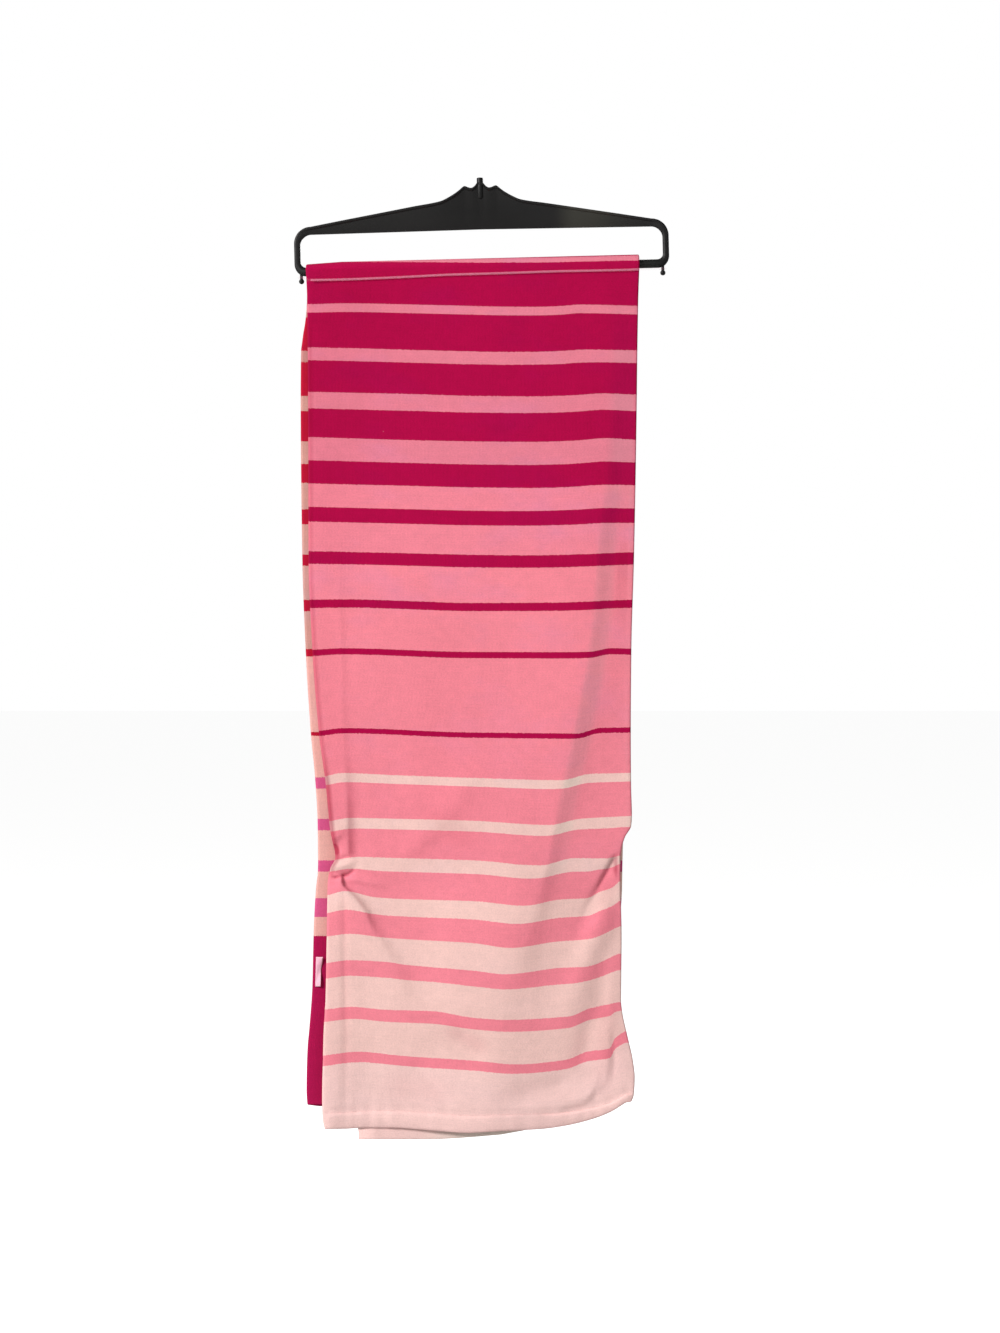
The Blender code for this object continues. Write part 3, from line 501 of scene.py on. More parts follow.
# How much lower a row of the cloth hangs at an x than at the left edge: row depth, (x, drop)
rowDrops = [
    (84.5, [(-177, -6), (-143, -4), (-135, -2.7), (-91, -1.2), (-52, -0.3), (0, 0.4), (63, 0.2),
        (128, -1.1), (167, -2.1)]),
    (132.7, [(-177, 0), (-136, -1), (-62, 0.4), (-15, 1.5), (26, 2.4), (58, 2.6), (84, 1.8),
        (105, 0.2), (165, 1.7)]),
    (178.7, [(-177, -1.3), (-136, -0.5), (-62, 1.7), (-15, 2.8), (26, 3.5), (58, 3.2), (84, 2.6),
        (105, 1), (164, 1.7)]),
    (224.7, [(-177, -0.7), (-62, 1.8), (-15, 3.4), (26, 3.9), (52, 4.1), (84, 3.4), (105, 2.4),
        (126, 0.9), (164, 2.2)]),
    (271.7, [(-177, -1.8), (-62, 1.8), (-15, 2.7), (26, 3.2), (52, 3.3), (84, 2.7), (105, 1.6),
        (131, -0.6), (163, 1.2)]),
    (318.7, [(-177, -1.3), (-62, 1.4), (-15, 2.7), (26, 3.2), (52, 3.4), (84, 2.8), (105, 1.6),
        (131, 0), (162, 0.4)]),
    (346.9, [(-177, -1), (-62, 1.8), (-15, 2.9), (26, 3.3), (52, 3.3), (84, 2.6), (105, 1.7),
        (131, 0.2), (161, 0.7)]),
    (390.8, [(-177, -0.6), (-62, 1.9), (-15, 3.1), (52, 3.8), (84, 3.3), (160, 0.4)]),
    (441, [(-175, -0.2), (-136, -0.4), (-62, 1.7), (-15, 3.3), (84, 2.8), (120, 1.4),
        (159, -0.2)]),
    (493.2, [(-173, -0.5), (-143, -2), (-15, 1.8), (84, 2.1), (115, 1.7), (138, -2.1),
        (158, -1.4)]),
    (577.9, [(-168, 0.2), (-141, -2.7), (-15, 1.8), (84, 2.8), (102, 3.1), (126, -2.9),
        (157, -3.4)]),
    (624.9, [(-164, 0.4), (-143, -3.4), (-89, -1.2), (-5, 1.8), (86, 4), (115, -2.5),
        (157, -3.6)]),
    (670.9, [(-158, 1.2), (-136, -2.4), (-83, -1.5), (-5, 0.6), (73, 4.9), (105, -1.6),
        (158, -4.6)]),
    (711.6, [(-151, 1.2), (-125, -2.2), (-99, -1.4), (-5, 1.5), (63, 6.7), (99.5, -1), (131, -0.4),
        (146, -3.1)]),
    (749.3, [(-160, -0.2), (-141, -5), (-109.5, 1.5), (-83, 3.3), (-5, 5.6), (47, 10.3), (84, 3.8),
        (112, 2.4), (125.5, -4.3), (138, -8.5), (146, -15.5)]),
    (792.1, [(-160, 0.4), (-136, -2.5), (-99, 1.7), (-5, 7.4), (32, 12.3), (79, 5.8), (115, 2.7),
        (146, -10.3)]),
    (821.4, [(-161, 0.7), (-136, -2.4), (-99, -0.9), (-78, 2.3), (-5, 8.7), (26, 12.2), (87, 5.4),
        (110, 4.6), (145, -9.2)]),
    (869.4, [(-162, -0.4), (-134, -3.3), (-99, -0.2), (-52, 1), (-5, 8.4), (26, 10.3), (94, 6.7),
        (115, -1.7), (143, -7.6)]),
    (918.6, [(-164, -0.1), (-125, -4.3), (-109.5, -3), (-83, 0.1), (-5, 5.3), (37, 9.1), (89, 4.5),
        (113, -4.4), (136, -7.5), (141, -18.3), (152, -26.6)]),
    (978.1, [(-162, 0), (-142, -3.1), (-121, -4.2), (-94, -4.2), (-49, -0.5), (-5, 1.9), (18, 3.4),
        (56, 1), (87, -2.7), (110, -8), (133, -12.5), (148, -15.7)]),
]


def barHeight(x):
    return (x * math.sin(bar["tilt"]) - bar["depth"]) / math.cos(bar["tilt"])


def foldHeight(power, line, x, depth):
    # Height of one fold at each place, from the nearest point of its line
    nearest = np.full(x.shape, np.inf)
    height = np.zeros(x.shape)
    points = [line[0]]
    for point in line[1:]:
        points.append(point + points[-1][len(point):])
    points = np.array(points, float)
    for a, b in zip(points, points[1:]):
        along = b[:2] - a[:2]
        t = ((x - a[0]) * along[0] + (depth - a[1]) * along[1]) / (along @ along)
        t = np.clip(t, 0, 1)
        awayX, awayZ = x - a[0] - t * along[0], depth - a[1] - t * along[1]
        away = np.hypot(awayX, awayZ)
        here = a[2:, None, None] + t * (b - a)[2:, None, None]
        reach = np.where(awayX * along[1] > awayZ * along[0], here[2], here[1])
        closer = away < nearest
        height = np.where(closer, here[0] * np.exp(-((away / reach) ** power)), height)
        nearest = np.where(closer, away, nearest)
    return height


def unevenness(side, x, depth):
    # Slow, shallow waves of cloth that never hangs quite flat
    waves = 0
    for height, wide, long, turned, deep, slope, shift in towel["waves"]:
        across = np.sin(x / wide + depth / long + turned * side)
        waves = waves + height * across * np.sin(depth / deep + x / slope + shift)
    least, start, run = towel["waveGrowth"]
    return waves * (least + (1 - least) * ease((depth - start) / run))


class Fall:
    # One hanging side of the towel: -1 is the front, +1 the back
    def __init__(self, side, edges, hems, hemDepths, folds):
        self.side = side
        self.hemDepths = hemDepths
        self.left = [(e[0], e[1]) for e in edges]
        self.right = [(e[0], e[2]) for e in edges]
        self.hems = hems
        self.folds = folds

    def hem(self, layer, x):
        inner, tucked, outer = (smoothCurve(h, x) for h in self.hems)
        low = inner + (tucked - inner) * np.clip(layer, 0, 1)
        return low + (outer - low) * np.clip(layer - 1, 0, 1)

    def seam(self, x):
        return smoothCurve(self.hems[2], x) - smoothCurve(self.hemDepths, x)

    def relief(self, x, depth):
        height = unevenness(self.side, x, depth)
        for power, line in self.folds.values():
            height += foldHeight(power, line, x, depth)
        # puckers that the hem's sewing draws in
        near = np.exp(-(((depth - self.seam(x)) / towel["puckerReach"]) ** 2))
        much, long = towel["puckerWander"]
        wave = np.sin(x / towel["puckerWave"] + much * np.sin(x / long))
        return height + towel["pucker"] * near * wave

    def across(self, columns, depth):
        # x, the x whose relief it follows, layer offset and the wall's own direction
        kind, share, layer, angle = columns
        loose = np.clip((depth - bar["depth"]) / towel["tightLength"], 0, 1)
        leftRadius = pitch * (0.5 + 0.5 * loose)
        rightRadius = pitch / 2
        low = smoothCurve(self.left, depth) + leftRadius + towel["cloth"] / 2
        high = smoothCurve(self.right, depth) - rightRadius - towel["cloth"] / 2
        x = low + share * (high - low)
        tent = np.clip(1 - share / towel["selvedgeShare"], 0, 1)
        outerOffset = 2 * pitch - tent * 2 * (pitch - leftRadius)
        sine, cosine = np.sin(angle), np.cos(angle)
        rightFold, outer, leftFold = kind == 1, kind == 2, kind == 3
        turnX = np.select([rightFold, leftFold], [sine, -sine], 0.0)
        turnY = np.select([rightFold, outer, leftFold], [-cosine, 1.0, cosine], -1.0)
        offset = np.select(
            [rightFold, outer, leftFold],
            [1.5 * pitch - rightRadius * cosine, outerOffset, leftRadius * (1 + cosine)],
            pitch * layer,
        )
        anchor = np.select([rightFold, leftFold], [high, low], x)
        x = np.select([rightFold, leftFold],
                      [high + rightRadius * sine, low - leftRadius * sine], x)
        return x, anchor, offset, turnX, turnY


frontFall = Fall(-1, frontEdges, frontHems, frontHemDepths, frontFolds)
backFall = Fall(1, backEdges, backHems, backHemDepths, backFolds)


def clothColumns():
    # kind 0 flat, 1 right fold, 2 outer layer, 3 left fold; from the tucked free edge, round
    # the right fold, over the front, round the left fold and in to the inner free edge
    width, edge = towel["foldedWidth"], towel["selvedgeShare"]
    innerShare = (towel["clothWidth"] - width * (2 - edge)) / width
    start, stop, kept = towel["outerShares"]
    outer = [start]
    while outer[-1] < stop:
        step = [s for at, s in towel["outerColumnSteps"] if at <= outer[-1] * width][-1]
        outer.append(outer[-1] + step / width)
    inner = np.arange(*towel["innerShares"], towel["innerColumnStep"] / width)
    turns = np.linspace(0, math.pi, towel["foldSteps"] + 1)
    columns = [(0, edge, 1, 0)]
    columns += [(0, s, 1, 0) for s in inner if s > edge + 0.01]
    columns += [(1, 1, 1 + a / math.pi, a) for a in turns]
    columns += [(2, s, 2, 0) for s in outer[:0:-1] if s < kept]
    columns += [(3, 0, 2 - 2 * a / math.pi, a) for a in turns]
    columns += [(0, s, 0, 0) for s in inner if s < innerShare - 0.01]
    return np.array(columns, float).T


def rowShares(fall, steps):
    # Shares of the way from the bar to the hem's seam
    length = float(fall.seam(0.0)) - bar["depth"]
    shares, depth = [], 0.0
    while depth < length - 2:
        shares.append(depth / length)
        depth += [step for start, step in steps if start <= depth][-1]
    return shares


def seenAs(points, fallLoose):
    # The falls are narrowed a little as they come forward, so that they keep the outline
    # that the camera sees
    axis = np.array([view["centreX"], 0, view["centreZ"]])
    grow = 1 + (points[..., 1:2] - view["planeY"]) / view["distance"] * fallLoose[..., None]
    moved = axis + (points - axis) * grow
    moved[..., 1] = points[..., 1]
    return moved


def fallPoints(fall, rows, columns):
    # rows: down (share to the seam), hem (share from there), swell, wall left
    down, hem, swell, wall = (np.array(r, float)[:, None] for r in zip(*rows))
    kind, share, layer, _ = columns
    x = smoothCurve(fall.left, bar["depth"]) + share[None, :] * towel["foldedWidth"]
    x = np.repeat(x, len(rows), 0)
    # where a column is and how deep its rows hang depend on each other, and settle
    for _ in range(6):
        top, seam = -barHeight(x), fall.seam(x)
        depth = top + down * (seam - top) + hem * (fall.hem(layer, x) - seam)
        x, anchor, offset, turnX, turnY = fall.across(columns, depth)
    shown = np.minimum(depth, fall.seam(anchor) + 4)
    relief = fall.relief(anchor, shown)
    # the tucked layers hang calmer than the outer one, and always behind it
    near = (-towel["calmReach"], 0, towel["calmReach"])
    calm = np.min([fall.relief(anchor + a, shown + b) for a in near for b in near], 0)
    if fall.side < 0:
        much, start, run, left, leftRun, right, rightRun = towel["heldBack"]
        inside = ease((x - left) / leftRun) * ease((right - x) / rightRun)
        calm = calm - much * ease((depth - start) / run) * inside * np.maximum(calm, 0)
    fromFold = np.where(layer > 0.5, 1 - share, share) * towel["foldedWidth"]
    tucked = np.where(kind == 0, ease(fromFold / towel["besideFold"]), 0)
    relief = relief + tucked * (calm - relief)
    loose = np.clip((depth - bar["depth"]) / towel["tightLength"], 0, 1)
    grey = np.zeros(x.shape)
    if fall.side < 0:
        # painted shade from the table's lines
        for power, line in paintedShades.values():
            grey += foldHeight(power, line, x, depth)
        # painted shade darkens the left folded edge, and a painted shadow of the outer hem greys
        # the tucked layer's end
        edge = sum(much * ease((depth - start) / run) for start, run, much in towel["foldEdgePaintedShade"])
        end, run = towel["foldEdgePaintedShadeEnd"]
        grey = np.where(kind == 3, grey - edge * ease((end - depth) / run), grey)
        much, left, leftRun, start, run = towel["tuckedHemPaintedShadow"]
        low = ease((x - left) / leftRun) * ease((depth - start) / run)
        grey = np.where((kind == 0) & (layer == 1), much * low, grey)
    sides = []
    for face in (1, -1):
        thick = face * towel["cloth"] / 2 * wall
        thick = np.where((kind == 2) & (face > 0), thick + swell, thick)
        out = firstLayer + offset + turnY * thick + relief
        place = np.stack([x + turnX * thick, fall.side * out, -depth], -1)
        sides.append(seenAs(place, loose))
    return sides, x, depth, np.where(kind == 1, 0, grey)


def crestPoints(angles, columns):
    angle = np.array(angles)[:, None]
    flat = np.full((len(angles), columns.shape[1]), bar["depth"])
    x, _, offset, turnX, turnY = frontFall.across(columns, flat)
    sides = []
    for face in (1, -1):
        px = x + turnX * face * towel["cloth"] / 2
        radius = firstLayer + offset + turnY * face * towel["cloth"] / 2
        sides.append(np.stack([px, -radius * np.cos(angle),
                               barHeight(px) + radius * np.sin(angle)], -1))
    radius = firstLayer + offset
    arc = radius * np.where(angle < math.pi / 2, angle, math.pi - angle)
    return sides, x, -barHeight(x) - arc


def clothRow(x, depth):
    # The row of the cloth that hangs at a place of the front
    starts = np.array([row for row, _ in rowDrops])
    drops = np.stack([smoothCurve(points, x.ravel()) for _, points in rowDrops])
    place, row = np.arange(x.size), depth.ravel().copy()
    # the drop is looked up at a row that itself depends on it, so this goes round until it settles
    for _ in range(14):
        i = np.clip(np.searchsorted(starts, row) - 1, 0, len(starts) - 2)
        t = np.clip((row - starts[i]) / (starts[i + 1] - starts[i]), 0, 1)
        row = depth.ravel() - drops[i, place] * (1 - t) - drops[i + 1, place] * t
    return row.reshape(x.shape)


def addTowel(materials):
    columns = clothColumns()
    hems = [(1, share, swell, wall) for share, swell, wall in towel["hemSteps"]]
    frontRows = [(s, 0, 0, 1) for s in rowShares(frontFall, towel["frontRowSteps"])] + hems
    backRows = [(s, 0, 0, 1) for s in rowShares(backFall, towel["backRowSteps"])] + hems
    angles = np.linspace(0, math.pi, towel["crestSteps"] + 1)[1:-1]
    frontSides, frontX, frontDepth, grey = fallPoints(frontFall, frontRows[::-1], columns)
    crestSides, crestX, crestDepth = crestPoints(angles, columns)
    backSides, _, backDepth, _ = fallPoints(backFall, backRows, columns)
    face, reverse = (np.concatenate(part) for part in zip(frontSides, crestSides, backSides))
    long, wide = face.shape[:2]
    onFront = angles[:, None] < math.pi / 2
    rows = np.concatenate([
        clothRow(frontX, frontDepth),
        np.where(onFront, clothRow(crestX, crestDepth), crestDepth),
        backDepth,
    ])
    across = lengthsAlong(face[towel["measuredRow"]])
    firstBack = len(frontRows) + int(onFront.sum())
    kind = columns[0]
    lastOuter = int(np.nonzero(kind == 3)[0][0]) + towel["foldSteps"] // 2

    outside, inside, rim = sheetFaces(long, wide)
    row, column = np.divmod(np.arange(len(outside)), wide - 1)
    slot = np.where(row < firstBack - 1, 0, np.where(column < lastOuter, 1, 2))
    rimSlot = np.where(rim[:, 0] // wide < firstBack, 0, 1)
    made = meshObject("towelCloth", np.concatenate([face, reverse]).reshape(-1, 3),
                      np.concatenate([outside, inside, rim]).tolist(), materials)
    mesh = made.data
    slots = np.concatenate([slot, slot, rimSlot]).astype(np.int32)
    mesh.polygons.foreach_set("material_index", slots)
    uv = np.stack([np.broadcast_to(across, rows.shape), rows], -1).reshape(-1, 2) * mm
    setUv(mesh, "cloth", np.concatenate([uv, uv]))
    # painted shade of the front fall's points, for the material
    paintedShadeByPoint = np.zeros((2, long * wide), np.float32)
    paintedShadeByPoint[0, :grey.size] = grey.ravel()
    paintedShadeByPoint[1, :grey.size] = np.where(kind == 0, grey, 0).ravel()
    mesh.attributes.new("nap", "FLOAT", "POINT").data.foreach_set("value", paintedShadeByPoint.ravel())
    turnOutwards(made)
    print("towel:", len(mesh.polygons) * 2, "triangles")
    return made, [face[edge, kind == 2] for edge in (len(hems) - 1, long - len(hems))]


# Towel cloth's materials

tones = {
    "magenta": (174, 6, 68),
    "pink": (228, 127, 146),
    "lowerPink": (242, 136, 151),
    "pale": (241, 200, 193),
    "hemPale": (243, 204, 199),
    "midPink": (238, 133, 150),
    "red": (178, 20, 50),
    "beige": (194, 132, 126),
    "paleBeige": (204, 151, 142),
    "salmon": (229, 172, 164),
    "orchid": (211, 88, 136),
    "deepMagenta": (171, 20, 76),
    "cream": (243, 206, 190),
}

# Where each stripe starts, by row of the cloth in millimetres below the hanger's top
upperStripes = [
    (0, "magenta"), (82, "pink"), (88.2, "magenta"), (133, "pink"), (141.8, "magenta"),
    (178.9, "pink"), (190.7, "magenta"), (224.8, "pink"), (241.5, "magenta"), (272.5, "pink"),
    (296.2, "magenta"), (319.7, "midPink"), (345.3, "magenta"), (359.9, "midPink"),
    (389.4, "magenta"), (403.2, "lowerPink"), (439.7, "magenta"), (450.1, "lowerPink"),
    (493, "magenta"), (499.2, "lowerPink"),
]
lowerStripes = [
    (540, "lowerPink"), (577.6, "magenta"), (583.9, "lowerPink"), (625.1, "pale"),
    (635.2, "lowerPink"), (670.5, "pale"), (682.8, "lowerPink"), (711.8, "pale"),
    (725, "lowerPink"), (749.5, "pale"), (768.2, "lowerPink"), (791.6, "pale"),
    (820.3, "lowerPink"), (836.9, "pale"), (869.2, "lowerPink"), (882.9, "pale"),
    (918, "lowerPink"), (928.2, "hemPale"),
]
backStripes = [
    (0, "magenta"), (132.7, "pink"), (142.6, "magenta"), (178.7, "pink"), (192.3, "magenta"),
    (225.7, "pink"), (242.4, "magenta"), (272.7, "pink"), (296.8, "magenta"), (318.7, "pink"),
    (346.9, "magenta"), (360.5, "pink"), (390.8, "magenta"), (404.4, "pink"),
    (441.5, "magenta"), (450.4, "pink"), (491.2, "magenta"), (497.5, "cream"),
    (577.9, "magenta"), (583.6, "cream"), (624.9, "orchid"), (635.4, "cream"),
    (667.8, "orchid"), (681.6, "cream"), (713.7, "orchid"), (725.2, "cream"),
    (752.9, "orchid"), (773, "cream"), (790, "deepMagenta"),
]
# The back fall's forward side is a redder, browner version of the same rows
forwardTones = {"magenta": "red", "pink": "beige", "cream": "salmon"}

pile = {
    "fuzz": 0.55,            # how far tufts blur a stripe's edge
    "edgeScale": 900.0,      # tufts to a metre
    "tuftDepth": 0.45,
    "ribPitch": 1.3,         # warp ribs under the pile
    # how much each of these varies the tone
    "patches": 0.12,
    "nap": 0.17,
    "streaks": 0.1,
    "tufts": 0.38,
    "ribs": 0.012,
    # how much patches lean towards purple, between which rows it fades and to what, and the tint
    "lean": 0.5,
    "leanFade": (400, 800, 0.1),
    "leanTint": (0.82, 1.05, 1.4, 1),
    # tints of the painted shade: greyer on shaded fold flanks, deeper in creases
    "paintedShadeGreyTint": (0.6, 1.65, 1.35, 1),
    "paintedDeepShadeTint": (0.5, 0.2, 0.28, 1),
    # a few specks of lint: strength, cells to a metre, size in a cell and its core, rarity, colour
    "lint": 0.1,
    "lintScale": 52.0,
    "lintSize": (0.045, 0.02),
    "lintRarity": 0.93,
    "lintColour": (0.95, 0.8, 0.8, 1),
    "sheen": 0.25,
    "sheenTint": (0.85, 0.22, 0.36, 1),
}


def stripeRamp(tree, row, stripes, low, high):
    place = rangeNode(tree, row, low * mm, high * mm)
    stops = [((depth - low) / (high - low), linear(*tones[tone])) for depth, tone in stripes]
    return rampNode(tree, place, stops, "CONSTANT")


def velour(name, ramps):
    material, tree, shader = newMaterial(name)
    cloth = addNode(tree, "ShaderNodeUVMap", uv_map="cloth").outputs[0]
    across, row, _ = addNode(tree, "ShaderNodeSeparateXYZ", {0: cloth}).outputs

    # tufts of pile carry each colour a little over the edge of its stripe
    edge = mathNode(tree, "SUBTRACT", noiseNode(tree, cloth, pile["edgeScale"], 2), 0.5)
    blurred = mathNode(tree, "MULTIPLY_ADD", edge, pile["fuzz"] * 4 * mm, row)
    colour = stripeRamp(tree, blurred, *ramps[0])
    for ramp in ramps[1:]:
        past = mathNode(tree, "GREATER_THAN", blurred, ramp[1] * mm)
        colour = mixNode(tree, past, colour, stripeRamp(tree, blurred, *ramp))

    # brushed patches, weft streaks, warp ribs and single tufts make it uneven
    nap = noiseNode(tree, cloth, 110, 3, 0.6)
    streaks = noiseNode(tree, stretched(tree, cloth, (14, 620, 1)), 1, 2)
    fine = noiseNode(tree, cloth, 640, 3, 0.65)
    turns = 2 * math.pi / (pile["ribPitch"] * mm)
    ribs = mathNode(tree, "SINE", mathNode(tree, "MULTIPLY", across, turns))
    amount = 1.0
    for part, strength, middle in ((noiseNode(tree, cloth, 26, 3, 0.6), "patches", 0.5),
                                   (nap, "nap", 0.5), (streaks, "streaks", 0.5),
                                   (fine, "tufts", 0.5), (ribs, "ribs", 0.0)):
        part = mathNode(tree, "SUBTRACT", part, middle)
        amount = mathNode(tree, "MULTIPLY_ADD", part, pile[strength], amount)
    colour = toned(tree, colour, amount)

    # patches that lean towards purple, less so lower down
    lean = noiseNode(tree, stretched(tree, cloth, (9, 13, 1)), 1, 4, 0.65)
    first, last, least = pile["leanFade"]
    lean = mathNode(tree, "MULTIPLY", rangeNode(tree, lean, 0.5, 0.8, 0.0, pile["lean"]),
                    rangeNode(tree, row, first * mm, last * mm, 1.0, least))
    colour = mixNode(tree, lean, colour, pile["leanTint"], "MULTIPLY")

    # painted shade: greyer on fold flanks in shade and under the outer hem, deeper in creases and
    # shaded patches
    grey = addNode(tree, "ShaderNodeAttribute", attribute_name="nap").outputs["Fac"]
    for share, tint in ((0.15, "paintedShadeGreyTint"), (-1, "paintedDeepShadeTint")):
        share = mathNode(tree, "MULTIPLY", grey, share)
        colour = mixNode(tree, share, colour, pile[tint], "MULTIPLY")

    # pale specks of lint
    specks = addNode(tree, "ShaderNodeTexVoronoi", {"Vector": cloth, "Scale": pile["lintScale"]})
    lint = rangeNode(tree, specks.outputs["Distance"], *pile["lintSize"])
    chosen = addNode(tree, "ShaderNodeSeparateColor", {0: specks.outputs["Color"]}).outputs[0]
    chosen = mathNode(tree, "GREATER_THAN", chosen, pile["lintRarity"])
    lint = mathNode(tree, "MULTIPLY", lint, chosen)
    lint = mathNode(tree, "MULTIPLY", lint, pile["lint"])

    # tufts over ribs, softened where they have been brushed flat
    height = mathNode(tree, "MULTIPLY_ADD", ribs, 0.12, fine)
    height = mathNode(tree, "MULTIPLY_ADD", nap, 0.9, height)
    height = mathNode(tree, "MULTIPLY_ADD", streaks, 0.5, height)
    setInputs(tree, shader, {
        "Base Color": mixNode(tree, lint, colour, pile["lintColour"]),
        "Normal": bumpNode(tree, height, 0.55, pile["tuftDepth"]),
        "Roughness": mathNode(tree, "MULTIPLY_ADD", fine, 0.12, 0.86),
        "Specular IOR Level": 0.06,
        "Sheen Weight": pile["sheen"],
        "Sheen Roughness": 0.45,
        "Sheen Tint": pile["sheenTint"],
    })
    return material


def towelMaterials():
    front = velour("frontVelour", [(upperStripes, 0, 560), (lowerStripes, 540, 1010)])
    outside = velour("backVelour", [(backStripes, 0, 1010)])
    forward = [(depth, "paleBeige" if tone == "pink" and depth > 220
                else forwardTones.get(tone, tone)) for depth, tone in backStripes]
    return [front, outside, velour("backForwardVelour", [(forward, 0, 1010)])]


# Stitches

stitch = {"spacing": 3.1, "length": 2.3, "radius": 0.27, "sink": 0.1}


def threadMaterial(name, tone):
    material, tree, shader = newMaterial(name)
    place = addNode(tree, "ShaderNodeTexCoord").outputs["Object"]
    twist = noiseNode(tree, place, 2600, 2)
    shade = mathNode(tree, "MULTIPLY_ADD", twist, 0.3, 0.85)
    setInputs(tree, shader, {
        "Base Color": toned(tree, (*linear(*tone), 1), shade),
        "Normal": bumpNode(tree, twist, 0.4, 0.1), "Roughness": 0.6, "Sheen Weight": 0.2})
    return material


def stitchTree(thread):
    # Rounded stitches end to end along a line
    tree = bpy.data.node_groups.new("stitchesAlongLine", "GeometryNodeTree")
    for name, kind in (("Geometry", "Geometry"), ("Spacing", "Float"), ("Length", "Float"),
                       ("Radius", "Float")):
        tree.interface.new_socket(name, in_out="INPUT", socket_type="NodeSocket" + kind)
    tree.interface.new_socket("Geometry", in_out="OUTPUT", socket_type="NodeSocketGeometry")
    start = addNode(tree, "NodeGroupInput").outputs
    line = addNode(tree, "GeometryNodeMeshToCurve", {"Mesh": start["Geometry"]})
    even = addNode(tree, "GeometryNodeResampleCurve", {
        "Curve": line.outputs[0], "Length": start["Spacing"]}, mode="LENGTH")
    ball = addNode(tree, "GeometryNodeMeshUVSphere", {"Segments": 8, "Rings": 5, "Radius": 1.0})
    half = mathNode(tree, "MULTIPLY", start["Length"], 0.5)
    size = addNode(tree, "ShaderNodeCombineXYZ", {0: start["Radius"], 1: start["Radius"],
                                                  2: half})
    capsule = addNode(tree, "GeometryNodeTransform", {"Geometry": ball.outputs[0],
                                                      "Scale": size.outputs[0]})
    tangent = addNode(tree, "GeometryNodeInputTangent").outputs[0]
    turn = addNode(tree, "FunctionNodeAlignRotationToVector", {"Vector": tangent}, axis="Z")
    made = addNode(tree, "GeometryNodeInstanceOnPoints", {
        "Points": even.outputs[0], "Instance": capsule.outputs[0], "Rotation": turn.outputs[0]})
    for kind, inputs in (("RealizeInstances", {}), ("SetShadeSmooth", {}),
                         ("SetMaterial", {"Material": thread})):
        made = addNode(tree, "GeometryNode" + kind, {0: made.outputs[0], **inputs})
    addNode(tree, "NodeGroupOutput", {0: made.outputs[0]})
    return tree


def sewAlong(name, line, tree, side):
    # line in millimetres; side is the way that its cloth faces along Y
    lifted = line + np.array([0, side * (stitch["radius"] - stitch["sink"]), 0])
    mesh = bpy.data.meshes.new(name + "Line")
    mesh.from_pydata((lifted * mm).tolist(), [(i, i + 1) for i in range(len(line) - 1)], [])
    guide = linked(name + "Line", mesh)
    modifier = guide.modifiers.new("stitches", "NODES")
    modifier.node_group = tree
    for item in tree.interface.items_tree:
        size = stitch.get(item.name.lower())
        if size and item.in_out == "INPUT":
            modifier[item.identifier] = size * mm
    bpy.context.view_layer.update()
    seen = guide.evaluated_get(bpy.context.evaluated_depsgraph_get())
    made = linked(name, bpy.data.meshes.new_from_object(seen))
    bpy.data.objects.remove(guide)
    return made


# Hanger

hanger = {
    "halfWidth": 196.15,
    "legWidth": 6.5,
    "rimHalf": 3.2,
    "rimHeight": 2.6,
    "rimRound": 0.9,
    "rimSlope": 1.0,
    "webHalf": 1.7,
    "webRound": 0.7,
    "plateBottom": 53.8,
    "armEnd": 178.4,
    "armBottomEnd": 55.1,
    "upperRadius": 17.7,
    "upperTop": 47.1,
    "innerRadius": 11.5,
    "legMiddle": 76.0,
    "lowerTop": 86.0,
    "lowerReach": 12.1,
    "windowTop": 83.6,
    "windowRadius": 6.0,
    "cornerSteps": 14,
    "plateStep": 1.3,
    "bossRadius": 3.35,
    "bossLength": 22.0,
    "bossSides": 40,
    "socketRadius": 1.3,
    "socketLength": 9.0,
    "pegX": 189.2,
    "pegBallDepth": 103.9,
    "pegBallRadius": 2.75,
    "pegNeckRadius": 1.6,
    "pegNeckTop": 94.0,
    "pegSides": 28,
    "pegSteps": 13,
    "sharpAngle": 38,
    # look: darker near the middle, painted shade at the right end, and a painted reflection of the
    # gloss lamp between two fades on one arm
    "darkMiddle": (15, 70, 0.6),
    "darkEnd": (181, 192, 0.25),
    "paintedGlossFades": ((75, 100), (178, 104)),
    "paintedGloss": (0.03, 0.029, 0.023, 1),
}

# Top edge of the plate from its middle outwards: x, depth
plateTop = [
    (0, 4.6), (3, 5), (4.6, 7.2), (6.6, 9.2), (9.4, 10.5), (12.6, 9.8), (15.2, 8.6),
    (16.8, 8.4), (18.4, 9.4), (21.4, 12), (25.3, 14.9), (33.3, 19.7), (42.3, 23.7), (70, 28.4),
    (105, 34.4), (142, 40.7),
]


def arcPoint(centre, reachX, reachZ, turn):
    return centre[0] + reachX * math.cos(turn), centre[1] + reachZ * math.sin(turn)


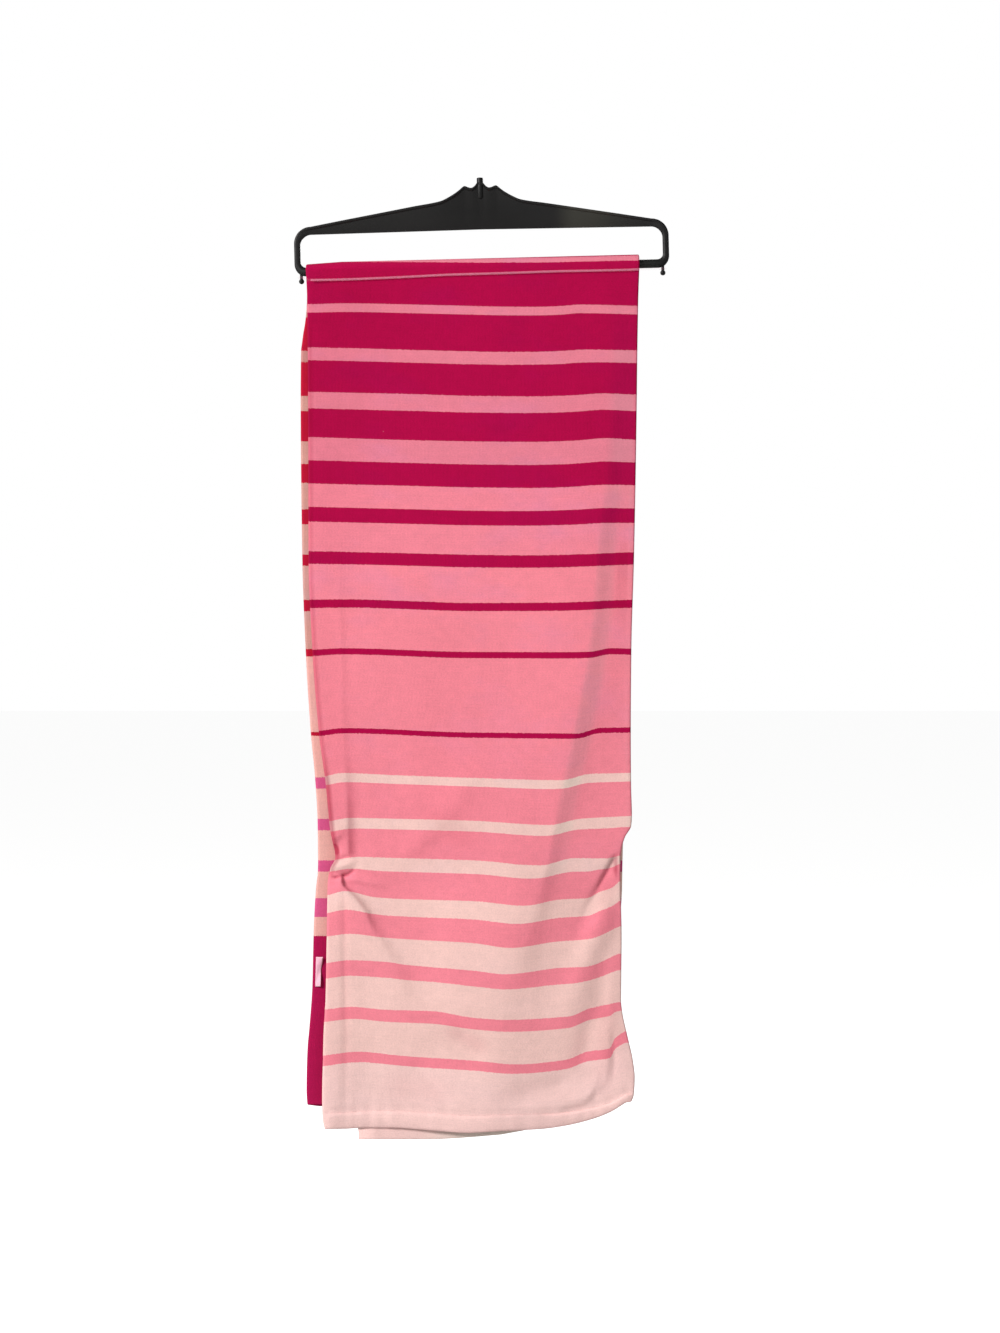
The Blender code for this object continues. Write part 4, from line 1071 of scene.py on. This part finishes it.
def hangerStations():
    # outer point, inner point, half thickness of the web, roundness of the section
    h = hanger
    innerLeg = h["halfWidth"] - h["legWidth"]
    half = []
    for x in np.arange(0, 142, h["plateStep"]):
        depth = float(smoothCurve(plateTop, x))
        low = h["plateBottom"] + (h["armBottomEnd"] - h["plateBottom"]) * x / h["armEnd"]
        half.append(((x, depth), (x, low), h["webHalf"], 0))
    outer = (h["halfWidth"] - h["upperRadius"], h["upperTop"] + h["upperRadius"])
    inner = (innerLeg - h["innerRadius"], h["armBottomEnd"] + h["innerRadius"])
    for i in range(h["cornerSteps"] + 1):
        share = i / h["cornerSteps"]
        turn = math.pi / 2 * (share - 1)
        web = h["webHalf"] + (h["rimHalf"] - h["webHalf"]) * min(1, 2 * share)
        half.append((arcPoint(outer, h["upperRadius"], h["upperRadius"], turn),
                     arcPoint(inner, h["innerRadius"], h["innerRadius"], turn), web, 0.5 * share))
    middle = h["legMiddle"]
    half.append(((h["halfWidth"], middle), (innerLeg, middle), h["rimHalf"], 0.5))
    barBottom, barTop = bar["depth"] + bar["radius"], bar["depth"] - bar["radius"]
    outer = (h["halfWidth"] - h["lowerReach"], h["lowerTop"])
    inner = (innerLeg - h["windowRadius"], h["windowTop"])
    for i in range(h["cornerSteps"] + 1):
        share = i / h["cornerSteps"]
        turn = math.pi / 2 * share
        web = h["rimHalf"] + (bar["radius"] - h["rimHalf"]) * share
        half.append((arcPoint(outer, h["lowerReach"], barBottom - h["lowerTop"], turn),
                     arcPoint(inner, h["windowRadius"], barTop - h["windowTop"], turn),
                     web, 0.5 + 0.5 * share))
    for x in (150.0, 100.0, 50.0, 0.0):
        half.append(((x, barBottom), (x, barTop), bar["radius"], 1))
    mirrored = [((-o[0], o[1]), (-i[0], i[1]), web, roundness)
                for o, i, web, roundness in half[-2:0:-1]]
    return half + mirrored


def hangerSection(station):
    outer, inner, web, roundness = station
    h = hanger
    outer, inner = Vector(outer), Vector(inner)
    width = (inner - outer).length
    edge, rise = h["rimRound"], h["rimHeight"]
    # from the outer edge inwards: how far in, half the thickness there
    plain = [
        (0, h["rimHalf"] - edge),
        (edge * 0.1, h["rimHalf"] - edge * 0.55),
        (edge * 0.5, h["rimHalf"] - edge * 0.12),
        (edge, h["rimHalf"]),
        (rise - 0.4, h["rimHalf"]),
        (rise, h["rimHalf"] - 0.25),
        (rise + h["rimSlope"] * 0.7, web + 0.15),
        (rise + h["rimSlope"] + 0.5, web),
        (width - h["webRound"], web),
        (width - h["webRound"] * 0.3, web - h["webRound"] * 0.3),
        (width, web - h["webRound"]),
    ]
    front = []
    for i, (across, half) in enumerate(plain):
        angle = math.pi * (i + 0.5) / len(plain)
        across += (width / 2 * (1 - math.cos(angle)) - across) * roundness
        half += (web * math.sin(angle) - half) * roundness
        place = outer.lerp(inner, across / width)
        front.append((place.x, -half, -place.y))
    return front + [(x, -y, z) for x, y, z in front[::-1]]


def addTurned(points, faces, profile, x, segments):
    # Adds a turned shape about a vertical axis; radius 0 is a pole
    rings = []
    for radius, depth in profile:
        count = segments if radius else 1
        rings.append(list(range(len(points), len(points) + count)))
        for i in range(count):
            angle = 2 * math.pi * i / segments
            points.append((x + radius * math.cos(angle), radius * math.sin(angle), -depth))
    for upper, lower in zip(rings, rings[1:]):
        faces += bridge(upper, lower)


def bossProfile():
    # radius, depth, from the socket's bottom over the rim and down the outside
    h = hanger
    radius, length = h["bossRadius"], h["bossLength"]
    return [(0, h["socketLength"]), (h["socketRadius"], h["socketLength"]),
            (h["socketRadius"], 0.25), (h["socketRadius"] + 0.25, 0), (radius - 0.6, 0),
            (radius - 0.2, 0.15), (radius, 0.6), (radius, 8), (radius, length - 1.5),
            (radius - 0.5, length - 0.5), (radius - 1.5, length), (0, length)]


def pegProfile():
    h = hanger
    neck, ball, centre = h["pegNeckRadius"], h["pegBallRadius"], h["pegBallDepth"]
    start = math.asin(neck / ball)
    profile = [(0, h["pegNeckTop"]), (neck, h["pegNeckTop"])]
    profile += [(neck, centre - ball * math.cos(start) - 0.4)]
    for i in range(h["pegSteps"]):
        angle = start + (math.pi - start) * i / h["pegSteps"]
        profile.append((ball * math.sin(angle), centre - ball * math.cos(angle)))
    return profile + [(0, centre + ball)]


def plasticMaterial():
    material, tree, shader = newMaterial("blackPlastic")
    place = addNode(tree, "ShaderNodeTexCoord").outputs["Object"]
    grain = noiseNode(tree, place, 1500, 2)
    flow = noiseNode(tree, stretched(tree, place, (5, 20, 34)), 1, 3, 0.6)
    scuffs = noiseNode(tree, stretched(tree, place, (60, 60, 420)), 1, 3, 0.7)
    colour = rampNode(tree, flow, [(0.3, (0.0052, 0.005, 0.0055)),
                                   (0.75, (0.0085, 0.008, 0.0075))])
    x = addNode(tree, "ShaderNodeSeparateXYZ", {0: place}).outputs[0]
    first, last, dark = hanger["darkMiddle"]
    shade = rangeNode(tree, mathNode(tree, "ABSOLUTE", x), first * mm, last * mm, dark,
                      interpolation_type="SMOOTHSTEP")
    colour = toned(tree, colour, shade)
    # painted shade darkens the right end
    first, last, dark = hanger["darkEnd"]
    colour = toned(tree, colour, rangeNode(tree, x, first * mm, last * mm, 1.0, dark))
    # painted reflection of the gloss lamp: one arm's colour is lightened between two fades
    edges = [rangeNode(tree, x, first * mm, last * mm, interpolation_type="SMOOTHSTEP")
             for first, last in hanger["paintedGlossFades"]]
    paintedGloss = mathNode(tree, "MULTIPLY", *edges)
    rough = mathNode(tree, "MULTIPLY_ADD", flow, 0.14, 0.38)
    height = mathNode(tree, "MULTIPLY_ADD", scuffs, 0.6, grain)
    setInputs(tree, shader, {
        "Base Color": mixNode(tree, paintedGloss, colour, hanger["paintedGloss"]),
        "Roughness": mathNode(tree, "MULTIPLY_ADD", scuffs, 0.1, rough),
        "Normal": bumpNode(tree, height, 0.3, 0.06), "Specular IOR Level": 0.32})
    return material


def addHanger():
    sections = [hangerSection(s) for s in hangerStations()]
    points = [p for section in sections for p in section]
    rings = np.arange(len(points)).reshape(len(sections), -1).tolist()
    faces = [face for i in range(len(rings)) for face in bridge(rings[i - 1], rings[i])]
    addTurned(points, faces, bossProfile(), 0, hanger["bossSides"])
    for x in (-hanger["pegX"], hanger["pegX"]):
        addTurned(points, faces, pegProfile(), x, hanger["pegSides"])
    made = meshObject("hangerFrame", points, faces, [plasticMaterial()])
    made.data.transform(Matrix.Rotation(-bar["tilt"], 4, "Y"))
    turnOutwards(made)
    made.data.set_sharp_from_angle(angle=math.radians(hanger["sharpAngle"]))
    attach(made, "root")
    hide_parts("hanger_frame")
    print("hanger:", len(made.data.polygons), "faces")


# Elastic cord

cord = {"radius": 1.25, "loopDepth": 99.8, "spacing": 3.0, "sides": 14, "solid": 0.33,
        "stretchedSolid": 0.04, "overTowel": (-176.5, 165.5),
        "hookTurn": (20, 256, 26)}      # degrees round a peg's neck: from, up to, step
cordFront = -(firstLayer + 2 * pitch + towel["cloth"] / 2 + towel["gap"] + cord["radius"])

# Where it crosses the towel's front, hook to hook
cordRoute = [
    (-182.2, cordFront + 3.6, -106.6), (-179.6, cordFront + 0.6, -108),
    (-176, cordFront, -108.7), (-150, cordFront, -108.3), (-83, cordFront, -105.7),
    (-31, cordFront, -103.1), (21, cordFront, -101.6), (84, cordFront, -99.5),
    (125, cordFront, -98.7), (160, cordFront, -97.8), (170, cordFront + 1.2, -97.1),
    (181, cordFront + 5.6, -96),
]


def cordPath():
    # Three quarters of a turn round each peg's neck, and the run between them
    hook = hanger["pegNeckRadius"] + towel["gap"] + cord["radius"]
    angles = np.radians(range(*cord["hookTurn"]))
    ends = []
    for side in (-1, 1):
        neck = Vector((side * hanger["pegX"], 0, -cord["loopDepth"]))
        centre = Matrix.Rotation(-bar["tilt"], 3, "Y") @ neck
        ends.append([centre + Vector((-side * hook * math.cos(a), hook * math.sin(a), 0))
                     for a in angles])
    route = np.array([ends[0][-1]] + cordRoute + [ends[1][-1]], float)
    along = lengthsAlong(route)
    stops = np.linspace(0, along[-1], round(along[-1] / cord["spacing"]))
    run = np.stack([smoothCurve(list(zip(along, route[:, k])), stops) for k in range(3)], 1)
    return np.concatenate([np.array(ends[0][:-1]), run, np.array(ends[1][-2::-1])])


def elasticMaterial(name, solid):
    material, tree, shader = newMaterial(name)
    place = addNode(tree, "ShaderNodeUVMap", uv_map="cord").outputs[0]
    wrap = noiseNode(tree, stretched(tree, place, (500, 3, 1)), 1, 2)
    setInputs(tree, shader, {
        "Base Color": rampNode(tree, wrap, [(0, (0.85, 0.27, 0.42)), (1, (0.96, 0.38, 0.53))]),
        "Normal": bumpNode(tree, wrap, 0.25, 0.15),
        "Roughness": mathNode(tree, "MULTIPLY_ADD", wrap, 0.15, 0.3),
        "Specular IOR Level": 0.3, "Alpha": solid})
    return material


def addCord():
    path = cordPath()
    radius, count, sides = cord["radius"], len(path), cord["sides"]
    tangent = np.gradient(path, axis=0)
    tangent /= np.linalg.norm(tangent, axis=1)[:, None]
    up = np.array([0.0, 0.0, 1.0]) - tangent[:, 2:] * tangent
    up /= np.linalg.norm(up, axis=1)[:, None]
    turns = np.linspace(0, 2 * math.pi, sides, endpoint=False)
    ring = (up[:, None] * np.cos(turns)[:, None]
            + np.cross(tangent, up)[:, None] * np.sin(turns)[:, None])
    points = (path[:, None] + ring * radius).reshape(-1, 3).tolist()
    rings = np.arange(len(points)).reshape(count, sides).tolist()
    faces = [face for pair in zip(rings, rings[1:]) for face in bridge(*pair)]
    # each end is rounded, ring by ring to its tip
    for end, way in ((0, -1), (count - 1, 1)):
        previous = rings[end]
        for share in (0.5, 0.85, 1):
            middle = path[end] + way * tangent[end] * radius * share
            more = middle + ring[end] * radius * math.sqrt(1 - share**2)
            more = more[:1] if share == 1 else more
            current = list(range(len(points), len(points) + len(more)))
            points += more.tolist()
            faces += bridge(previous, current)
            previous = current
    # it is clearest past the towel's edges, where it is stretched round the pegs
    made = meshObject("retainerCord", points, faces, [
        elasticMaterial("clearElastic", cord["solid"]),
        elasticMaterial("stretchedElastic", cord["stretchedSolid"])])
    first, last = cord["overTowel"]
    past = [int(not first < x < last) for x in path[:-1, 0] for _ in range(sides)]
    made.data.polygons.foreach_set("material_index", past + [1] * (len(faces) - len(past)))
    along = lengthsAlong(path) * mm
    uv = np.full((len(points), 2), (along[-1], 0))
    uv[:count * sides] = np.stack([np.repeat(along, sides), np.tile(turns, count)], 1)
    setUv(made.data, "cord", uv)
    turnOutwards(made)
    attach(made, "root")
    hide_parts("retainer_cord")


# Label

label = {
    "left": -171.2,
    "width": 7.4,
    "top": 815.0,
    "length": 31.0,
    "thickness": 0.7,
    "columns": 12,
    "rows": 34,
    "wave": 2.4,
    "waveTurns": (6.5, 1.5, 0.6),   # radians down it, across it and at its corner
    "slant": 0.8,            # how far its lower end lies to the left
    "narrowing": 1.7,
    "roundEdge": 0.9,
    "weftPitch": 0.5,
    "tone": (240, 184, 202),
}


def satinMaterial():
    material, tree, shader = newMaterial("labelSatin")
    place = addNode(tree, "ShaderNodeTexCoord").outputs["Object"]
    z = addNode(tree, "ShaderNodeSeparateXYZ", {0: place}).outputs[2]
    turns = 2 * math.pi / (label["weftPitch"] * mm)
    weft = mathNode(tree, "SINE", mathNode(tree, "MULTIPLY", z, turns))
    uneven = noiseNode(tree, place, 300, 3)
    amount = mathNode(tree, "MULTIPLY_ADD", uneven, 0.12, 0.94)
    amount = mathNode(tree, "MULTIPLY_ADD", weft, 0.02, amount)
    setInputs(tree, shader, {
        "Base Color": toned(tree, (*linear(*label["tone"]), 1), amount),
        "Normal": bumpNode(tree, weft, 0.3, 0.08),
        "Roughness": mathNode(tree, "MULTIPLY_ADD", uneven, 0.15, 0.38), "Sheen Weight": 0.25})
    return material


def addLabel():
    # A folded tab that lies on the back fall's forward side
    long, wide = label["rows"], label["columns"]
    down, over = np.meshgrid(np.linspace(0, 1, long), np.linspace(0, 1, wide), indexing="ij")
    depth = label["top"] + label["length"] * down
    x = label["left"] - label["slant"] * down
    x = x + (label["width"] - label["narrowing"] * ease(2 * down)) * over
    surface = firstLayer - towel["cloth"] / 2 + backFall.relief(x, depth)
    turnDown, turnOver, start = label["waveTurns"]
    wave = 0.5 + 0.5 * np.sin(turnDown * down + turnOver * over + start)
    wave = label["wave"] * wave * over
    edge = np.minimum(np.minimum(down, 1 - down) * label["length"],
                      np.minimum(over, 1 - over) * label["width"])
    plump = 0.25 + 0.75 * ease(edge / label["roundEdge"])
    middle = surface - towel["gap"] - wave - label["thickness"] / 2
    sides = []
    for lift in (-0.5, 0.5):
        y = middle - lift * label["thickness"] * plump
        sides.append(seenAs(np.stack([x, y, -depth], -1), np.ones(x.shape)).reshape(-1, 3))
    faces = np.concatenate(sheetFaces(long, wide)).tolist()
    made = meshObject("labelTab", np.concatenate(sides), faces, [satinMaterial()])
    turnOutwards(made)
    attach(made, "root")
    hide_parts("label")
    print("label is sewn in")
    return made


# Everything together

addHanger()
addCord()
cloth, seams = addTowel(towelMaterials())
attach(cloth, "root")
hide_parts("towel")
labelTab = addLabel()

paleThread = threadMaterial("paleThread", (244, 206, 201))
darkThread = threadMaterial("magentaThread", (178, 30, 88))
for name, line, thread, side in (
    ("frontHemStitches", seams[0], paleThread, -1),
    ("backHemStitches", seams[1], darkThread, 1),
):
    stitches = sewAlong(name, line, stitchTree(thread), side)
    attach(stitches, "root")
print("hems are stitched")
